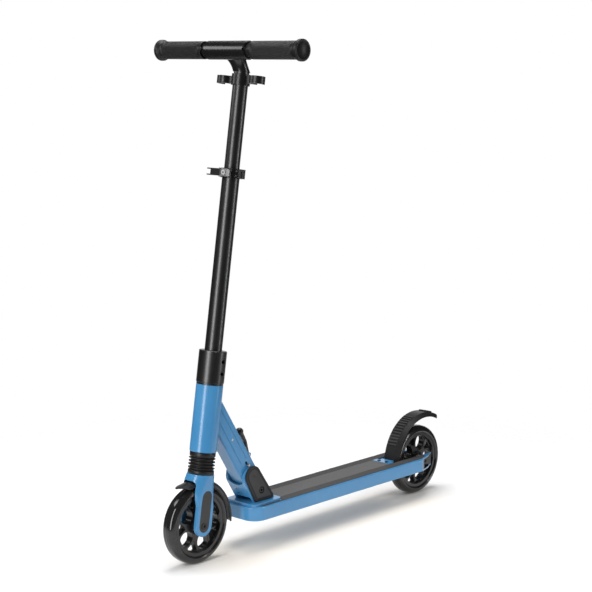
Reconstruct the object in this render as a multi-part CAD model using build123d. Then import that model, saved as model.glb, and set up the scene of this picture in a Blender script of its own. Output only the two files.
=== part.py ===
from build123d import *
import math
import os

os.makedirs("parts", exist_ok=True)

# A folding two-wheel kick scooter, millimetres. The origin is on the ground, midway between the axles:
# +X points forward, +Y to the rider's left and +Z up.

# Stance
wheelbase = 634.0
head_rake_angle = 8.75
neck_lean_angle = 32.0

# Fits and small gaps, and a length that takes a cut right through any piece
running_gap = 0.05
slide_gap = 0.1
face_gap = 0.1
seat_gap = 0.4
past = 300.0

# Wheels
wheel_radius = 72.5
tyre_width = 30.0
tyre_shoulder = 11.0
tyre_depth = 14.5
rim_width = 24.0
rim_wall = 6.0
boss_radius = 17.0
web_root = 17.0
web_tip = 12.0
wishbones = 5
window_edge = 1.2
oval_long = 15.0
oval_wide = 12.5
fan_apex = 31.0
fan_half = 13.0
fan_corner = 2.6
fan_inset = 3.0
bearing_groove = 0.4
hub_bore_gap = 1.5
bearing_radius = 11.0
bearing_width = 7.0
axle_radius = 4.0
axle_head_radius = 6.5
axle_head_height = 4.2
spacer_radius = 6.0

# Fork, measured along the steering axis from the front axle
crown_height = 7.0
crown_radius = 25.0
crown_skirt_drop = 23.0
crown_skirt_length = 54.0
crown_skirt_width = 48.5
crown_skirt_lead = 2.5
leg_blend_drop = 57.0
leg_width = 40.0
leg_thickness = 6.5
leg_chamfer = 1.5
crown_corner = 3.5
skirt_corner = 4.0
wheel_side_gap = 1.5
wheel_arch_gap = 13.5
arch_corner = 10.0
inlay_width = 24.0
inlay_length = 77.0
inlay_depth = 1.2

# Front mudguard
guard_gap = 8.5
guard_wall = 2.5
guard_crown = 6.5
guard_tail_angle = 178.0
guard_front_angle = 73.0
guard_beak = 36.0
guard_pad_radius = 8.0
guard_screw_radius = 2.5
guard_screw_head = 4.5
guard_screw_head_height = 2.4
guard_screw_reach = 14.0
guard_side_gap = 0.5
guard_tip_half = 1.5
small_socket = 1.6

# Boot
boot_length = 41.0
boot_bore = 19.5
boot_collar_radius = 23.8
boot_rib_radius = 24.6
boot_valley_radius = 21.2
boot_top_collar = 9.0
boot_foot_collar = 8.5
boot_ribs = 3

# Head tube and headset
head_length = 123.0
head_radius = 25.0
head_edge = 0.8
head_bore = 19.0
headset_radius = 21.0
headset_width = 8.0
cap_height = 3.4
cap_inset = 0.3
collar_height = 58.6
collar_radius = 25.6
collar_slit = 2.0
collar_bolt_radius = 2.0
collar_bolt_head = 3.4
collar_bolt_seat = 8.0
collar_bolt_head_height = 3.5
collar_bolt_socket = 1.6
collar_bolt_spacing = 22.0
collar_turn_angle = -46.0
race_radius = 18.6
race_height = 5.0

# Steering column and its suspension
lower_tube_radius = 16.0
lower_tube_wall = 1.9
lower_tube_bare = 322.0
stanchion_wall = 3.0
stanchion_over = 1.0
stanchion_plug = 20.0
fork_travel = 12.0
key_pin_radius = 2.5
key_pin_rise = 71.0
key_pin_short = 0.3
spring_length = 62.0
spring_wire = 3.6
spring_turns = 8
spring_side_gap = 0.8
spring_stop_height = 10.0

# Quick release at the top of the lower tube
qr_height = 17.0
qr_radius = 20.5
qr_block_size = 14.0
qr_block_y = 9.0
qr_block_depth = 8.0
qr_bolt_radius = 3.0
qr_bolt_head = 4.6
qr_bolt_head_height = 1.5
qr_lever_length = 31.0
qr_lever_thickness = 7.0
qr_lever_height = 13.0
qr_lever_tip = 2.0
qr_lever_sweep = 1.5
qr_ear = 6.0
qr_ear_half = 9.0
qr_jaw_side = 5.0
qr_split = 2.0
qr_screw_offset = 1.5
qr_screw_half = 9.5
qr_fork_slot = 4.4
qr_fork_depth = 7.5
qr_pivot_radius = 2.0
qr_pin_radius = 1.8

# Upper tube, handlebar and bar clip
upper_tube_wall = 2.0
upper_tube_bare = 183.0
upper_tube_overlap = 104.0
bar_rise = 34.0
bar_reach = 36.6
sleeve_radius = 17.0
sleeve_length = 102.0
stem_spigot = 36.0
stem_web_width = 56.0
stem_collar = 1.6
stem_corner = 5.0
sleeve_edge = 1.2
notch_half = 5.0
clip_drop = 24.0
clip_height = 20.0
clip_wall = 3.0
clip_socket_y = 41.0
clip_socket_wall = 3.0
clip_mouth = 19.0
clip_arm_height = 14.0
clip_arm_half = 4.0
clip_squeeze = 0.5

# Handles
bar_length = 360.0
handle_radius = 12.0
handle_wall = 2.0
handle_engagement = 46.0
grip_radius = 16.3
grip_gap = 9.5
grip_collar = 8.0
grip_tooth = 4.0
grip_tooth_half = 4.6
grip_edge = 0.8
grip_line = 0.5
end_flange_radius = 19.4
end_flange_length = 9.0
end_flange_round = 1.6
end_flange_flare = 2.4
end_face_rim = 3.6
end_face_depth = 0.6
end_plug = 6.0
handle_end_gap = 2.0

# Neck and fold
pivot_setback = 145.0
pivot_rise = 26.5
pivot_radius = 4.0
pivot_head_radius = 6.5
pivot_head_sunk = 0.6
pivot_socket = 3.0
neck_depth = 41.0
neck_width = 36.0
neck_wall = 3.0
neck_round = 5.0
neck_overrun = 11.5
neck_plug = 24.0
neck_groove = 1.6
neck_groove_depth = 0.7
neck_groove_offset = 8.0
neck_groove_start = 72.0
neck_pin_height = 126.0
neck_pin_radius = 2.2
cheek_gap = 0.5
cheek_wall = 5.5
cheek_root = 2.0
cheek_round = 19.5
cheek_round_x = 6.0
cheek_round_z = 35.0
lip_gap = 1.5
lip_wall = 3.5
lip_dip = 24.0
lip_bottom = 1.0
lip_top = 44.0
lip_hole_radius = 1.7
lip_hole_y = -9.0
lip_hole_low = 7.4
lip_hole_high = 18.4
cheek_corner = 3.0
cheek_tail_inset = 12.0
bracket_lead = 32.0
bracket_trail = 45.0
bracket_half_width = 38.0
bracket_corner = 9.0
bracket_base = 5.0
bracket_screw_radius = 3.0
bracket_screw_head = 5.0
bracket_screw_head_height = 2.6
bracket_screw_edge = 12.0
bracket_screw_lead = 24.0
bracket_screw_half_span = 13.0
bracket_screw_cover = 1.2
bracket_screw_socket = 2.4
cover_wall = 4.0
cover_round = 19.0
cover_round_x = 1.6
cover_round_z = 37.0
cover_corner = 5.0
cover_edge = 1.4
cover_setback = 11.0
cover_bolt_gap = 0.4
cover_dimple = 1.6
cover_dimple_depth = 0.8

# Release lever and latch, in the neck's own axes
latch_x = -3.5
latch_z = 58.9
latch_radius = 2.5
latch_travel = 6.0
lever_pivot_x = -25.0
lever_pivot_z = 63.0
lever_pin_radius = 2.0
lever_half_width = 4.5
lever_thickness = 5.6
lever_rise = 88.0
lever_stand_off = -34.0
knob_centre_x = -34.0
knob_centre_z = 112.0
knob_radius = 7.5
knob_neck = 4.4
lug_wall = 3.0
lug_radius = 4.2
lug_root = 2.0
lever_edge = 1.0
latch_short = 0.5
latch_chamfer = 0.5
neck_pin_proud = 0.3

# Deck
deck_setback = 107.0
deck_width = 94.0
deck_drop = 14.0
deck_height = 26.5
deck_plate = 4.0
deck_corner = 28.0
deck_edge = 2.0
rail_inner = 23.0
rail_wall = 3.0
rail_end_lead = 28.0
rail_tip_trail = 26.0
rail_taper = 30.0
rail_taper_in = 10.0
rail_tip_flat = 4.0
slot_gap = 13.5
nose_wall = 20.0
tape_thickness = 0.8
tape_edge = 1.6
tape_seam = 1.0
tape_setback = 22.0
tape_nose = 12.0
tape_nose_in = 4.0
tape_tail = 24.0
tape_tail_in = 12.0

# Rear brake
brake_gap = 23.0
brake_centre_x = -14.5
brake_centre_z = 3.7
brake_wall = 3.6
brake_half_width = 20.0
brake_crown = 9.0
brake_front_angle = -5.0
brake_rib_start_angle = 25.0
brake_rib_end_angle = 70.0
brake_ribs = 12
brake_rib_width = 3.4
brake_rib_height = 1.8
brake_tail_angle = 119.0
brake_pin_trail = 5.5
brake_pin_drop = 9.0
brake_pin_radius = 2.5
brake_barrel_radius = 4.8
brake_barrel_half = 11.0
brake_lug_wall = 3.5
brake_lug_gap = 0.3
brake_plate_length = 14.0
brake_plate_wall = 1.2
brake_plate_side_gap = 1.0
brake_screw_radius = 2.0
brake_screw_head = 3.6
brake_screw_head_height = 1.2
brake_screw_edge = 7.0
brake_screw_half_span = 10.0
brake_rib_edge = 0.7
brake_pad_edge = 1.2
brake_pad_angle = 15.0
brake_tail_corner = 7.0
brake_flat = 0.66
brake_band = 0.62
brake_pad_length = 22.0
brake_pad_height = 2.2
brake_pad_half = 9.0

# Frames: the steering axis through the front axle, the neck through the fold pivot, and each wheel
front_axle_x = wheelbase / 2
rear_axle_x = -wheelbase / 2
deck_bottom = wheel_radius - deck_drop
deck_top = deck_bottom + deck_height
pivot_x = front_axle_x - pivot_setback
pivot_z = deck_top + pivot_rise
steer_frame = Location((front_axle_x, 0, wheel_radius), (0, -head_rake_angle, 0))
neck_frame = Location((pivot_x, 0, pivot_z), (0, neck_lean_angle, 0))
rear_frame = Location((rear_axle_x, 0, wheel_radius))

# Sizes that follow from the ones above
rim_seat_radius = wheel_radius - tyre_depth
fork_slot = tyre_width / 2 + wheel_side_gap
leg_outer = fork_slot + leg_thickness
arch_radius = wheel_radius + wheel_arch_gap
fork_top = arch_radius + crown_height
crown_skirt_height = fork_top - crown_skirt_drop
leg_blend_height = fork_top - leg_blend_drop
head_bottom = fork_top + boot_length
head_top = head_bottom + head_length
collar_bottom = head_top + cap_height
collar_top = collar_bottom + collar_height
stanchion_top = head_top + stanchion_over
key_pin_height = head_bottom + key_pin_rise
lower_tube_top = collar_top + lower_tube_bare
upper_tube_top = lower_tube_top + upper_tube_bare
bar_height = upper_tube_top + bar_rise
clip_bottom = upper_tube_top - clip_drop
guard_inner = wheel_radius + guard_gap
guard_seat = guard_inner + guard_wall / 4
stanchion_radius = lower_tube_radius - lower_tube_wall - slide_gap
upper_tube_radius = lower_tube_radius - lower_tube_wall - running_gap
cheek_inner = neck_width / 2 + cheek_gap
cheek_outer = cheek_inner + cheek_wall
cover_outer = cheek_outer + cover_wall
rail_outer = deck_width / 2
handle_bore = handle_radius + running_gap
grip_start = sleeve_length / 2 + grip_gap
bracket_top = deck_top + bracket_base
bracket_front = pivot_x + bracket_lead
bracket_rear = pivot_x - bracket_trail
deck_front = front_axle_x - deck_setback
tape_front = deck_front - tape_setback
rail_end = rear_axle_x + rail_end_lead
rail_tip = rear_axle_x - rail_tip_trail
brake_radius = wheel_radius + brake_gap
slot_front = rear_axle_x + brake_centre_x + brake_radius + slot_gap
brake_pin_x = slot_front - brake_pin_trail
brake_pin_z = deck_top - brake_pin_drop
brake_plate_front = slot_front + brake_plate_length
qr_back = qr_radius + seat_gap
qr_front = qr_back + qr_block_depth
rake = math.radians(head_rake_angle)
lean = math.radians(neck_lean_angle)
neck_rise = pivot_z - wheel_radius
neck_reach = (pivot_setback * math.cos(rake) - neck_rise * math.sin(rake)) / math.sin(lean + rake)
neck_length = neck_reach + neck_overrun


def rod(radius, low, high):
    """A cylinder along Z from low to high."""
    return Pos(0, 0, (low + high) / 2) * Cylinder(radius, high - low)


def ring(outer, inner, low, high):
    """A plain tube along Z from low to high."""
    return rod(outer, low, high) - rod(inner, low - 1, high + 1)


def cross_rod(radius, x, z, low, high):
    """A cylinder along Y at (x, z), from low to high."""
    return Pos(x, (low + high) / 2, z) * Rot(90, 0, 0) * Cylinder(radius, high - low)


def block(x, y, z):
    """A box from three (low, high) spans."""
    spans = (x, y, z)
    centre = [(low + high) / 2 for low, high in spans]
    return Pos(*centre) * Box(*[high - low for low, high in spans])


def side_plate(face, low, high):
    """Thickens a face drawn in X and Z from Y = low to Y = high."""
    return Pos(0, high, 0) * extrude(Plane.XZ * face, high - low)


def hull_of(circles):
    """The outline that wraps a set of (x, z, radius) circles."""
    edges = []
    for x, z, radius in circles:
        edges += (Pos(x, z) * Circle(radius)).edges()
    return make_hull(edges)


def radial_plane(angle, centre_x=0.0, centre_z=0.0):
    """A plane across a wheel's rim at an angle from +X towards +Z: local x is outward, local y is +Y."""
    turn = math.radians(angle)
    outward = (math.cos(turn), 0, math.sin(turn))
    return Plane(origin=(centre_x, 0, centre_z), x_dir=outward, z_dir=(-outward[2], 0, outward[0]))


def arch_section(radius, half_width, drop, wall):
    """An arched strip across the rim: crown at radius, edges lower by drop."""
    outer = ThreePointArc((radius - drop, -half_width), (radius, 0), (radius - drop, half_width))
    inner = ThreePointArc(
        (radius - drop - wall, half_width - wall / 2),
        (radius - wall, 0),
        (radius - drop - wall, wall / 2 - half_width),
    )
    return make_face([outer, inner, Line(outer @ 1, inner @ 0), Line(inner @ 1, outer @ 0)])


def channel_section(radius, half_width, drop, wall, flat):
    """A flat-topped strip across the rim with sloping sides: flat is the top's share of the width."""
    top = half_width * flat
    outer = [(radius - drop, -half_width), (radius, -top), (radius, top), (radius - drop, half_width)]
    inset = half_width - wall
    inner = [(radius - drop, inset), (radius - wall, top - wall / 2), (radius - wall, wall / 2 - top)]
    return make_face(Polyline(*outer, *inner, (radius - drop, -inset), close=True))


def solids_of(parts):
    """Several separate solids kept as one group."""
    return Compound(children=list(parts))


# Wheels: the axis is Z here, and place turns it to Y

def tyre():
    middle = (rim_seat_radius + wheel_radius) / 2
    section = Pos(middle, 0) * Rectangle(wheel_radius - rim_seat_radius, tyre_width)
    section = fillet(section.vertices().sort_by(Axis.X)[-2:], tyre_shoulder)
    section = chamfer(section.vertices().sort_by(Axis.X)[:2], (tyre_width - rim_width) / 2)
    return revolve(Plane.XZ * section, Axis.Z)


def wheel_windows():
    """Alternating openings: a fan inside each wishbone and an oval between neighbours."""
    fan_far = rim_seat_radius - rim_wall - fan_inset
    fan = Polygon((fan_apex, 0), (fan_far, fan_half), (fan_far, -fan_half), align=None)
    fan = fillet(fan.vertices(), fan_corner)
    oval = Pos(fan_far + fan_inset - 1 - oval_long, 0) * Ellipse(oval_long, oval_wide)
    step = 360 / wishbones
    shapes = []
    for index in range(wishbones):
        shapes.append(Rot(0, 0, index * step) * fan)
        shapes.append(Rot(0, 0, (index + 0.5) * step) * oval)
    return [extrude(shape, rim_width, both=True) for shape in shapes]


def hub():
    rim_inner = rim_seat_radius - rim_wall
    web = make_face(
        Polyline(
            (boss_radius - 1, -web_root / 2),
            (rim_inner + 1, -web_tip / 2),
            (rim_inner + 1, web_tip / 2),
            (boss_radius - 1, web_root / 2),
            close=True,
        )
    )
    disc = revolve(Plane.XZ * web, Axis.Z)
    for window in wheel_windows():
        disc -= window
    edges = [edge for edge in disc.edges() if is_window_edge(edge, rim_inner)]
    disc = chamfer(edges, window_edge)
    body = disc + ring(rim_seat_radius, rim_inner, -rim_width / 2, rim_width / 2)
    body += rod(boss_radius, -rim_width / 2, rim_width / 2)
    body -= rod(spacer_radius + hub_bore_gap, -rim_width, rim_width)
    for side in (-1, 1):
        middle = side * (rim_width / 2 - bearing_width / 2)
        seat = Pos(0, 0, middle) * Cylinder(bearing_radius, bearing_width)
        body -= seat
    return body


def is_window_edge(edge, rim_inner):
    """True for the rims of the window openings on the two faces of the disc."""
    centre = edge.center()
    away = math.hypot(centre.X, centre.Y)
    return abs(centre.Z) > web_tip / 4 and boss_radius < away < rim_inner


def bearings(seat_radius, width, bore, outer_faces):
    """A pair of ball bearings, each a grooved ring between its races."""
    pair = []
    for side in (-1, 1):
        low = outer_faces - width
        body = ring(seat_radius, bore, low, outer_faces)
        shield = (seat_radius + bore) / 2
        band = (seat_radius - bore) / 4
        body -= ring(shield + band, shield - band, outer_faces - bearing_groove, outer_faces + 1)
        pair.append(body if side > 0 else mirror(body, Plane.XY))
    return solids_of(pair)


def wheel_set(name, axle_x):
    place = Location((axle_x, 0, wheel_radius), (90, 0, 0))
    bore = axle_radius + running_gap
    between = rim_width / 2 - bearing_width
    spacer_bore = axle_radius + 2 * slide_gap
    return {
        name + "_tyre": place * tyre(),
        name + "_hub": place * hub(),
        name + "_bearings": place * bearings(bearing_radius, bearing_width, bore, rim_width / 2),
        name + "_bearing_spacer": place * ring(spacer_radius, spacer_bore, -between, between),
    }


def axle_bolt(frame, seat):
    """A through axle with its socket head seated at Y = seat, and a capped nut at the other end."""
    shank = cross_rod(axle_radius, 0, 0, -seat - axle_head_height + 1, seat)
    head = cross_rod(axle_head_radius, 0, 0, seat, seat + axle_head_height)
    socket = RegularPolygon(axle_radius * 0.75, 6)
    head -= side_plate(socket, seat + axle_head_height / 2, seat + axle_head_height + 1)
    nut = cross_rod(axle_head_radius, 0, 0, -seat - axle_head_height, -seat)
    nut -= cross_rod(axle_radius, 0, 0, -seat - axle_head_height + 1, 0)
    return frame * (shank + head), frame * nut


def axle_spacers(frame, wall_face):
    """Two tubes between the bearings and the walls that carry the axle."""
    near = rim_width / 2 + face_gap
    pair = []
    for side in (-1, 1):
        low, high = sorted((side * near, side * wall_face))
        tube = cross_rod(spacer_radius, 0, 0, low, high)
        pair.append(frame * (tube - cross_rod(axle_radius, 0, 0, low - 1, high + 1)))
    return solids_of(pair)


# Front end, in the steering frame: Z is the steering axis, measured from the front axle

def inlay_outline():
    """The long rounded panel on each fork leg, centred on the axle at its foot."""
    radius = inlay_width / 2
    return hull_of([(0, 0, radius), (0, inlay_length - 2 * radius, radius)])


def fork():
    crown = loft(
        [
            Pos(0, 0, fork_top) * Circle(crown_radius),
            Pos(crown_skirt_lead, 0, crown_skirt_height)
            * RectangleRounded(crown_skirt_length, crown_skirt_width, crown_skirt_width / 2 - skirt_corner),
            Pos(0, 0, leg_blend_height) * RectangleRounded(leg_width, 2 * leg_outer, crown_corner),
        ]
    )
    leg = Circle(leg_width / 2) + Pos(0, leg_blend_height / 2) * Rectangle(leg_width, leg_blend_height)
    legs = side_plate(leg, -leg_outer, leg_outer)
    rounding = [edge for edge in legs.edges() if abs(abs(edge.center().Y) - leg_outer) < 0.01]
    rounding = [edge for edge in rounding if edge.center().Z < leg_blend_height - 1]
    legs = chamfer(rounding, leg_chamfer)
    body = crown + legs
    arch = Pos(arch_radius / 2, 0) * Rectangle(arch_radius, 2 * fork_slot)
    arch = fillet(arch.vertices().sort_by(Axis.X)[-2:], arch_corner)
    body -= revolve(arch, Axis.Y)
    body -= cross_rod(axle_radius + slide_gap, 0, 0, -leg_outer - 1, leg_outer + 1)
    body -= rod(stanchion_radius, 0, fork_top + 1)
    for side in (-1, 1):
        floor = side * (leg_outer - inlay_depth)
        low, high = sorted((floor, side * past))
        body -= side_plate(inlay_outline(), low, high)
        seat = side * (fork_slot + leg_thickness - inlay_depth - axle_head_height / 2)
        low, high = sorted((seat, side * (leg_outer + 1)))
        body -= cross_rod(axle_head_radius + slide_gap, 0, 0, low, high)
    return body


def fork_inlays():
    panels = []
    for side in (-1, 1):
        low, high = sorted((side * (leg_outer - inlay_depth), side * leg_outer))
        panel = side_plate(inlay_outline(), low, high)
        panel -= cross_rod(axle_head_radius + slide_gap, 0, 0, low - 1, high + 1)
        panels.append(panel)
    return solids_of(panels)


def front_mudguard():
    half = fork_slot - guard_side_gap
    section = arch_section(guard_inner + guard_wall, half, guard_crown, guard_wall)
    sweep = guard_tail_angle - guard_front_angle
    guard = revolve(radial_plane(guard_tail_angle) * section, Axis.Y, revolution_arc=sweep)
    front = radial_plane(guard_front_angle)
    beak = extrude(front * section, -guard_beak)
    tip = Polygon(
        (-1, -half - 1),
        (-1, half + 1),
        (guard_beak * 0.35, half + 1),
        (guard_beak, guard_tip_half),
        (guard_beak, -guard_tip_half),
        (guard_beak * 0.35, -half - 1),
        align=None,
    )
    plan = Plane(origin=front.origin, x_dir=-front.z_dir, z_dir=-front.x_dir)
    beak &= extrude(plan * tip, arch_radius + guard_wall, both=True)
    pad = rod(guard_pad_radius, guard_inner - guard_wall, arch_radius + guard_wall)
    pad &= cross_rod(arch_radius, 0, 0, -half, half)
    pad -= cross_rod(guard_inner + guard_wall / 8, 0, 0, -half - 1, half + 1)
    low = guard_inner - guard_crown
    shank = rod(guard_screw_radius, low, arch_radius + 1)
    seat = rod(guard_screw_head + slide_gap, low, guard_seat)
    guard -= shank
    guard += beak
    guard += pad - shank
    return guard - seat


def mudguard_screw():
    low = guard_seat - guard_screw_head_height
    head = rod(guard_screw_head, low, guard_seat)
    head -= extrude(Pos(0, 0, low - 1) * RegularPolygon(small_socket, 6), 1 + guard_screw_head_height / 2)
    return head + rod(guard_screw_radius, guard_seat, arch_radius + guard_screw_reach)


def stanchion():
    """The fork's inner tube: a plug at its foot takes the mudguard screw, slots let the key pin travel."""
    foot = arch_radius - 1.0
    tube = ring(stanchion_radius, stanchion_radius - stanchion_wall, foot, stanchion_top)
    tube += rod(stanchion_radius, foot, foot + stanchion_plug)
    tube -= cross_rod(arch_radius, 0, 0, -past, past)
    tube -= rod(guard_screw_radius, 0, arch_radius + guard_screw_reach)
    wide = key_pin_radius + slide_gap
    slot = block((-wide, wide), (-past, past), (key_pin_height - fork_travel - 1, key_pin_height))
    slot += cross_rod(wide, 0, key_pin_height, -past, past)
    slot += cross_rod(wide, 0, key_pin_height - fork_travel - 1, -past, past)
    return tube - slot


def boot():
    """Rubber bellows: a collar at each end and ribs between, turned from one profile."""
    low = fork_top + face_gap
    high = head_bottom - seat_gap
    first = low + boot_foot_collar
    last = high - boot_top_collar
    pitch = (last - first) / boot_ribs
    outline = [(boot_bore, low), (boot_collar_radius + 0.4, low), (boot_collar_radius + 0.4, first - 1.5)]
    for index in range(boot_ribs):
        base = first + index * pitch
        outline.append((boot_valley_radius, base))
        outline.append((boot_rib_radius, base + pitch * 0.38))
        outline.append((boot_rib_radius, base + pitch * 0.62))
    outline += [(boot_valley_radius, last), (boot_collar_radius, last + 1.2), (boot_collar_radius, high)]
    outline.append((boot_bore, high))
    return revolve(Plane.XZ * make_face(Polyline(*outline, close=True)), Axis.Z)


def head_tube():
    tube = ring(head_radius, head_bore, head_bottom, head_top)
    tube -= rod(headset_radius, head_bottom - 1, head_bottom + headset_width)
    tube -= rod(headset_radius, head_top - headset_width, head_top + 1)
    rims = tube.edges().filter_by(GeomType.CIRCLE)
    rims = [edge for edge in rims if abs(edge.radius - head_radius) < 0.01]
    return chamfer(rims, head_edge)


def headset_bearings():
    bore = lower_tube_radius + running_gap
    upper = ring(headset_radius, bore, head_top - headset_width, head_top - face_gap)
    lower = ring(headset_radius, bore, head_bottom + face_gap, head_bottom + headset_width)
    return solids_of([upper, lower])


def cap_ring():
    return ring(head_radius - cap_inset, lower_tube_radius, head_top + face_gap, collar_bottom)


def collar_bolt_heights():
    middle = (collar_bottom + collar_top) / 2
    return [middle - collar_bolt_spacing / 2, middle + collar_bolt_spacing / 2]


def column_collar():
    """A split clamp with two cross bolts behind the tube."""
    body = ring(collar_radius, lower_tube_radius, collar_bottom, collar_top)
    rims = [edge for edge in body.edges().filter_by(GeomType.CIRCLE) if edge.radius > collar_radius - 0.1]
    body = chamfer(rims, head_edge)
    slit = (-collar_slit / 2, collar_slit / 2)
    body -= block((-collar_radius - 1, 0), slit, (collar_bottom - 1, collar_top + 1))
    bolt_x = -(lower_tube_radius + collar_radius) / 2
    for height in collar_bolt_heights():
        body -= cross_rod(collar_bolt_radius, bolt_x, height, -collar_radius, collar_radius)
        body -= cross_rod(collar_bolt_head, bolt_x, height, collar_bolt_seat, collar_radius)
    return Rot(0, 0, collar_turn_angle) * body


def collar_bolts():
    bolt_x = -(lower_tube_radius + collar_radius) / 2
    pair = []
    for height in collar_bolt_heights():
        top = collar_bolt_seat + collar_bolt_head_height
        bolt = cross_rod(collar_bolt_radius, bolt_x, height, -collar_bolt_seat - 1, collar_bolt_seat)
        bolt += cross_rod(collar_bolt_head, bolt_x, height, collar_bolt_seat, top)
        socket = RegularPolygon(collar_bolt_socket, 6)
        bolt -= Pos(bolt_x, 0, height) * side_plate(socket, top - collar_bolt_socket, top + 1)
        pair.append(Rot(0, 0, collar_turn_angle) * bolt)
    return solids_of(pair)


def lower_race():
    return ring(race_radius, lower_tube_radius, head_bottom - race_height, head_bottom)


def lower_tube():
    bore = lower_tube_radius - lower_tube_wall
    tube = ring(lower_tube_radius, bore, head_bottom - race_height, lower_tube_top)
    return tube - cross_rod(key_pin_radius, 0, key_pin_height, -past, past)


def key_pin():
    reach = lower_tube_radius - key_pin_short
    return cross_rod(key_pin_radius, 0, key_pin_height, -reach, reach)


def spring_stop():
    bore = lower_tube_radius - lower_tube_wall
    low = stanchion_top + spring_length
    return rod(bore, low, low + spring_stop_height)


def suspension_spring():
    """The hidden coil between the stanchion's top and the stop, drawn as a stack of turned coils."""
    outer = stanchion_radius - spring_side_gap
    pitch = spring_length / spring_turns
    outline = [(outer - spring_wire, stanchion_top), (outer - spring_wire, stanchion_top + spring_length)]
    for index in range(spring_turns, 0, -1):
        top = stanchion_top + index * pitch
        outline.append((outer - spring_wire / 2, top))
        outline.append((outer, top - pitch / 2))
    outline.append((outer - spring_wire / 2, stanchion_top))
    return revolve(Plane.XZ * make_face(Polyline(*outline, close=True)), Axis.Z)


# Quick release

def qr_clamp():
    """A split clamp: a lip closes over the tube's end, a front jaw takes the bolt and the lever."""
    low = lower_tube_top - qr_height / 2
    high = low + qr_height
    body = ring(qr_radius, lower_tube_radius, low, lower_tube_top)
    body += ring(qr_radius, upper_tube_radius + slide_gap, lower_tube_top, high)
    jaw = block((0, qr_back), (-qr_jaw_side, qr_block_y + qr_block_size / 2), (low, high))
    ear = block((-qr_ear_half, qr_ear_half), (0, qr_radius + qr_ear), (low, high))
    body += (jaw + ear) - rod(lower_tube_radius, low - 1, lower_tube_top)
    body -= rod(upper_tube_radius + slide_gap, low - 1, high + 1)
    body -= block((-qr_split / 2, qr_split / 2), (0, past), (low - 1, high + 1))
    for height in qr_screw_heights():
        body -= Pos(0, qr_radius + qr_screw_offset, height) * Rot(0, 90, 0) * Cylinder(qr_pin_radius, past)
    bolt_hole = Rot(0, 90, 0) * rod(qr_bolt_radius, upper_tube_radius, past)
    body -= Pos(0, qr_block_y, lower_tube_top) * bolt_hole
    return body


def qr_screw_heights():
    return [lower_tube_top - qr_height / 4, lower_tube_top + qr_height / 4]


def qr_screws():
    pair = []
    for height in qr_screw_heights():
        screw = rod(qr_pin_radius, -qr_screw_half, qr_screw_half)
        screw = Pos(0, qr_radius + qr_screw_offset, height) * Rot(0, 90, 0) * screw
        pair.append(screw)
    return solids_of(pair)


def qr_block():
    """The bright nut block in front of the clamp, with the bolt's domed end."""
    half = qr_block_size / 2
    body = block((qr_back, qr_front), (qr_block_y - half, qr_block_y + half), (-half, half))
    body = chamfer(body.edges().filter_by(Axis.X), 1.0)
    body = Pos(0, 0, lower_tube_top) * body
    forward = Pos(0, qr_block_y, lower_tube_top) * Rot(0, 90, 0)
    top = qr_front + qr_bolt_head_height
    bolt = rod(qr_bolt_radius, lower_tube_radius + 0.5, qr_front) + rod(qr_bolt_head, qr_front - 0.5, top)
    bolt -= extrude(Pos(0, 0, top - qr_bolt_head_height / 2) * RegularPolygon(qr_bolt_radius / 2, 6), 4)
    return body + forward * bolt


def qr_lever_pivot():
    """Centre of the lever's hinge pin, beside the nut block."""
    reach = qr_lever_thickness / 2
    return qr_front - reach, qr_block_y - qr_block_size / 2 - seat_gap - reach


def qr_lever():
    x, y = qr_lever_pivot()
    reach = qr_lever_thickness / 2
    knee = (x - 1.0, y - qr_lever_length * 0.55, reach)
    outline = hull_of([(x, y, reach), knee])
    outline += hull_of([knee, (x + qr_lever_sweep, y - qr_lever_length, qr_lever_tip)])
    low = lower_tube_top - qr_lever_height / 2
    body = extrude(Pos(0, 0, low) * outline, qr_lever_height)
    tip = block(
        (x - past, x + past),
        (y - past, y - qr_lever_length + qr_fork_depth),
        (lower_tube_top - qr_fork_slot, lower_tube_top + qr_fork_slot),
    )
    body -= tip
    return body - Pos(x, y, lower_tube_top) * Cylinder(qr_pivot_radius + running_gap, past)


def qr_lever_pin():
    x, y = qr_lever_pivot()
    half = qr_height / 2 - seat_gap
    tab_half = qr_pivot_radius + qr_lever_tip / 3
    pin = Pos(x, y, lower_tube_top) * Cylinder(qr_pivot_radius, 2 * half)
    inside = qr_lever_height / 2 + seat_gap
    for side in (-1, 1):
        low, high = sorted((side * inside, side * half))
        tab = block((qr_back, x + tab_half), (y - tab_half, y + tab_half), (low, high))
        tab = Pos(0, 0, lower_tube_top) * tab
        pin += tab
    return pin


# Handlebar

def upper_tube():
    low = lower_tube_top - upper_tube_overlap
    return ring(upper_tube_radius, upper_tube_radius - upper_tube_wall, low, upper_tube_top)


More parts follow.
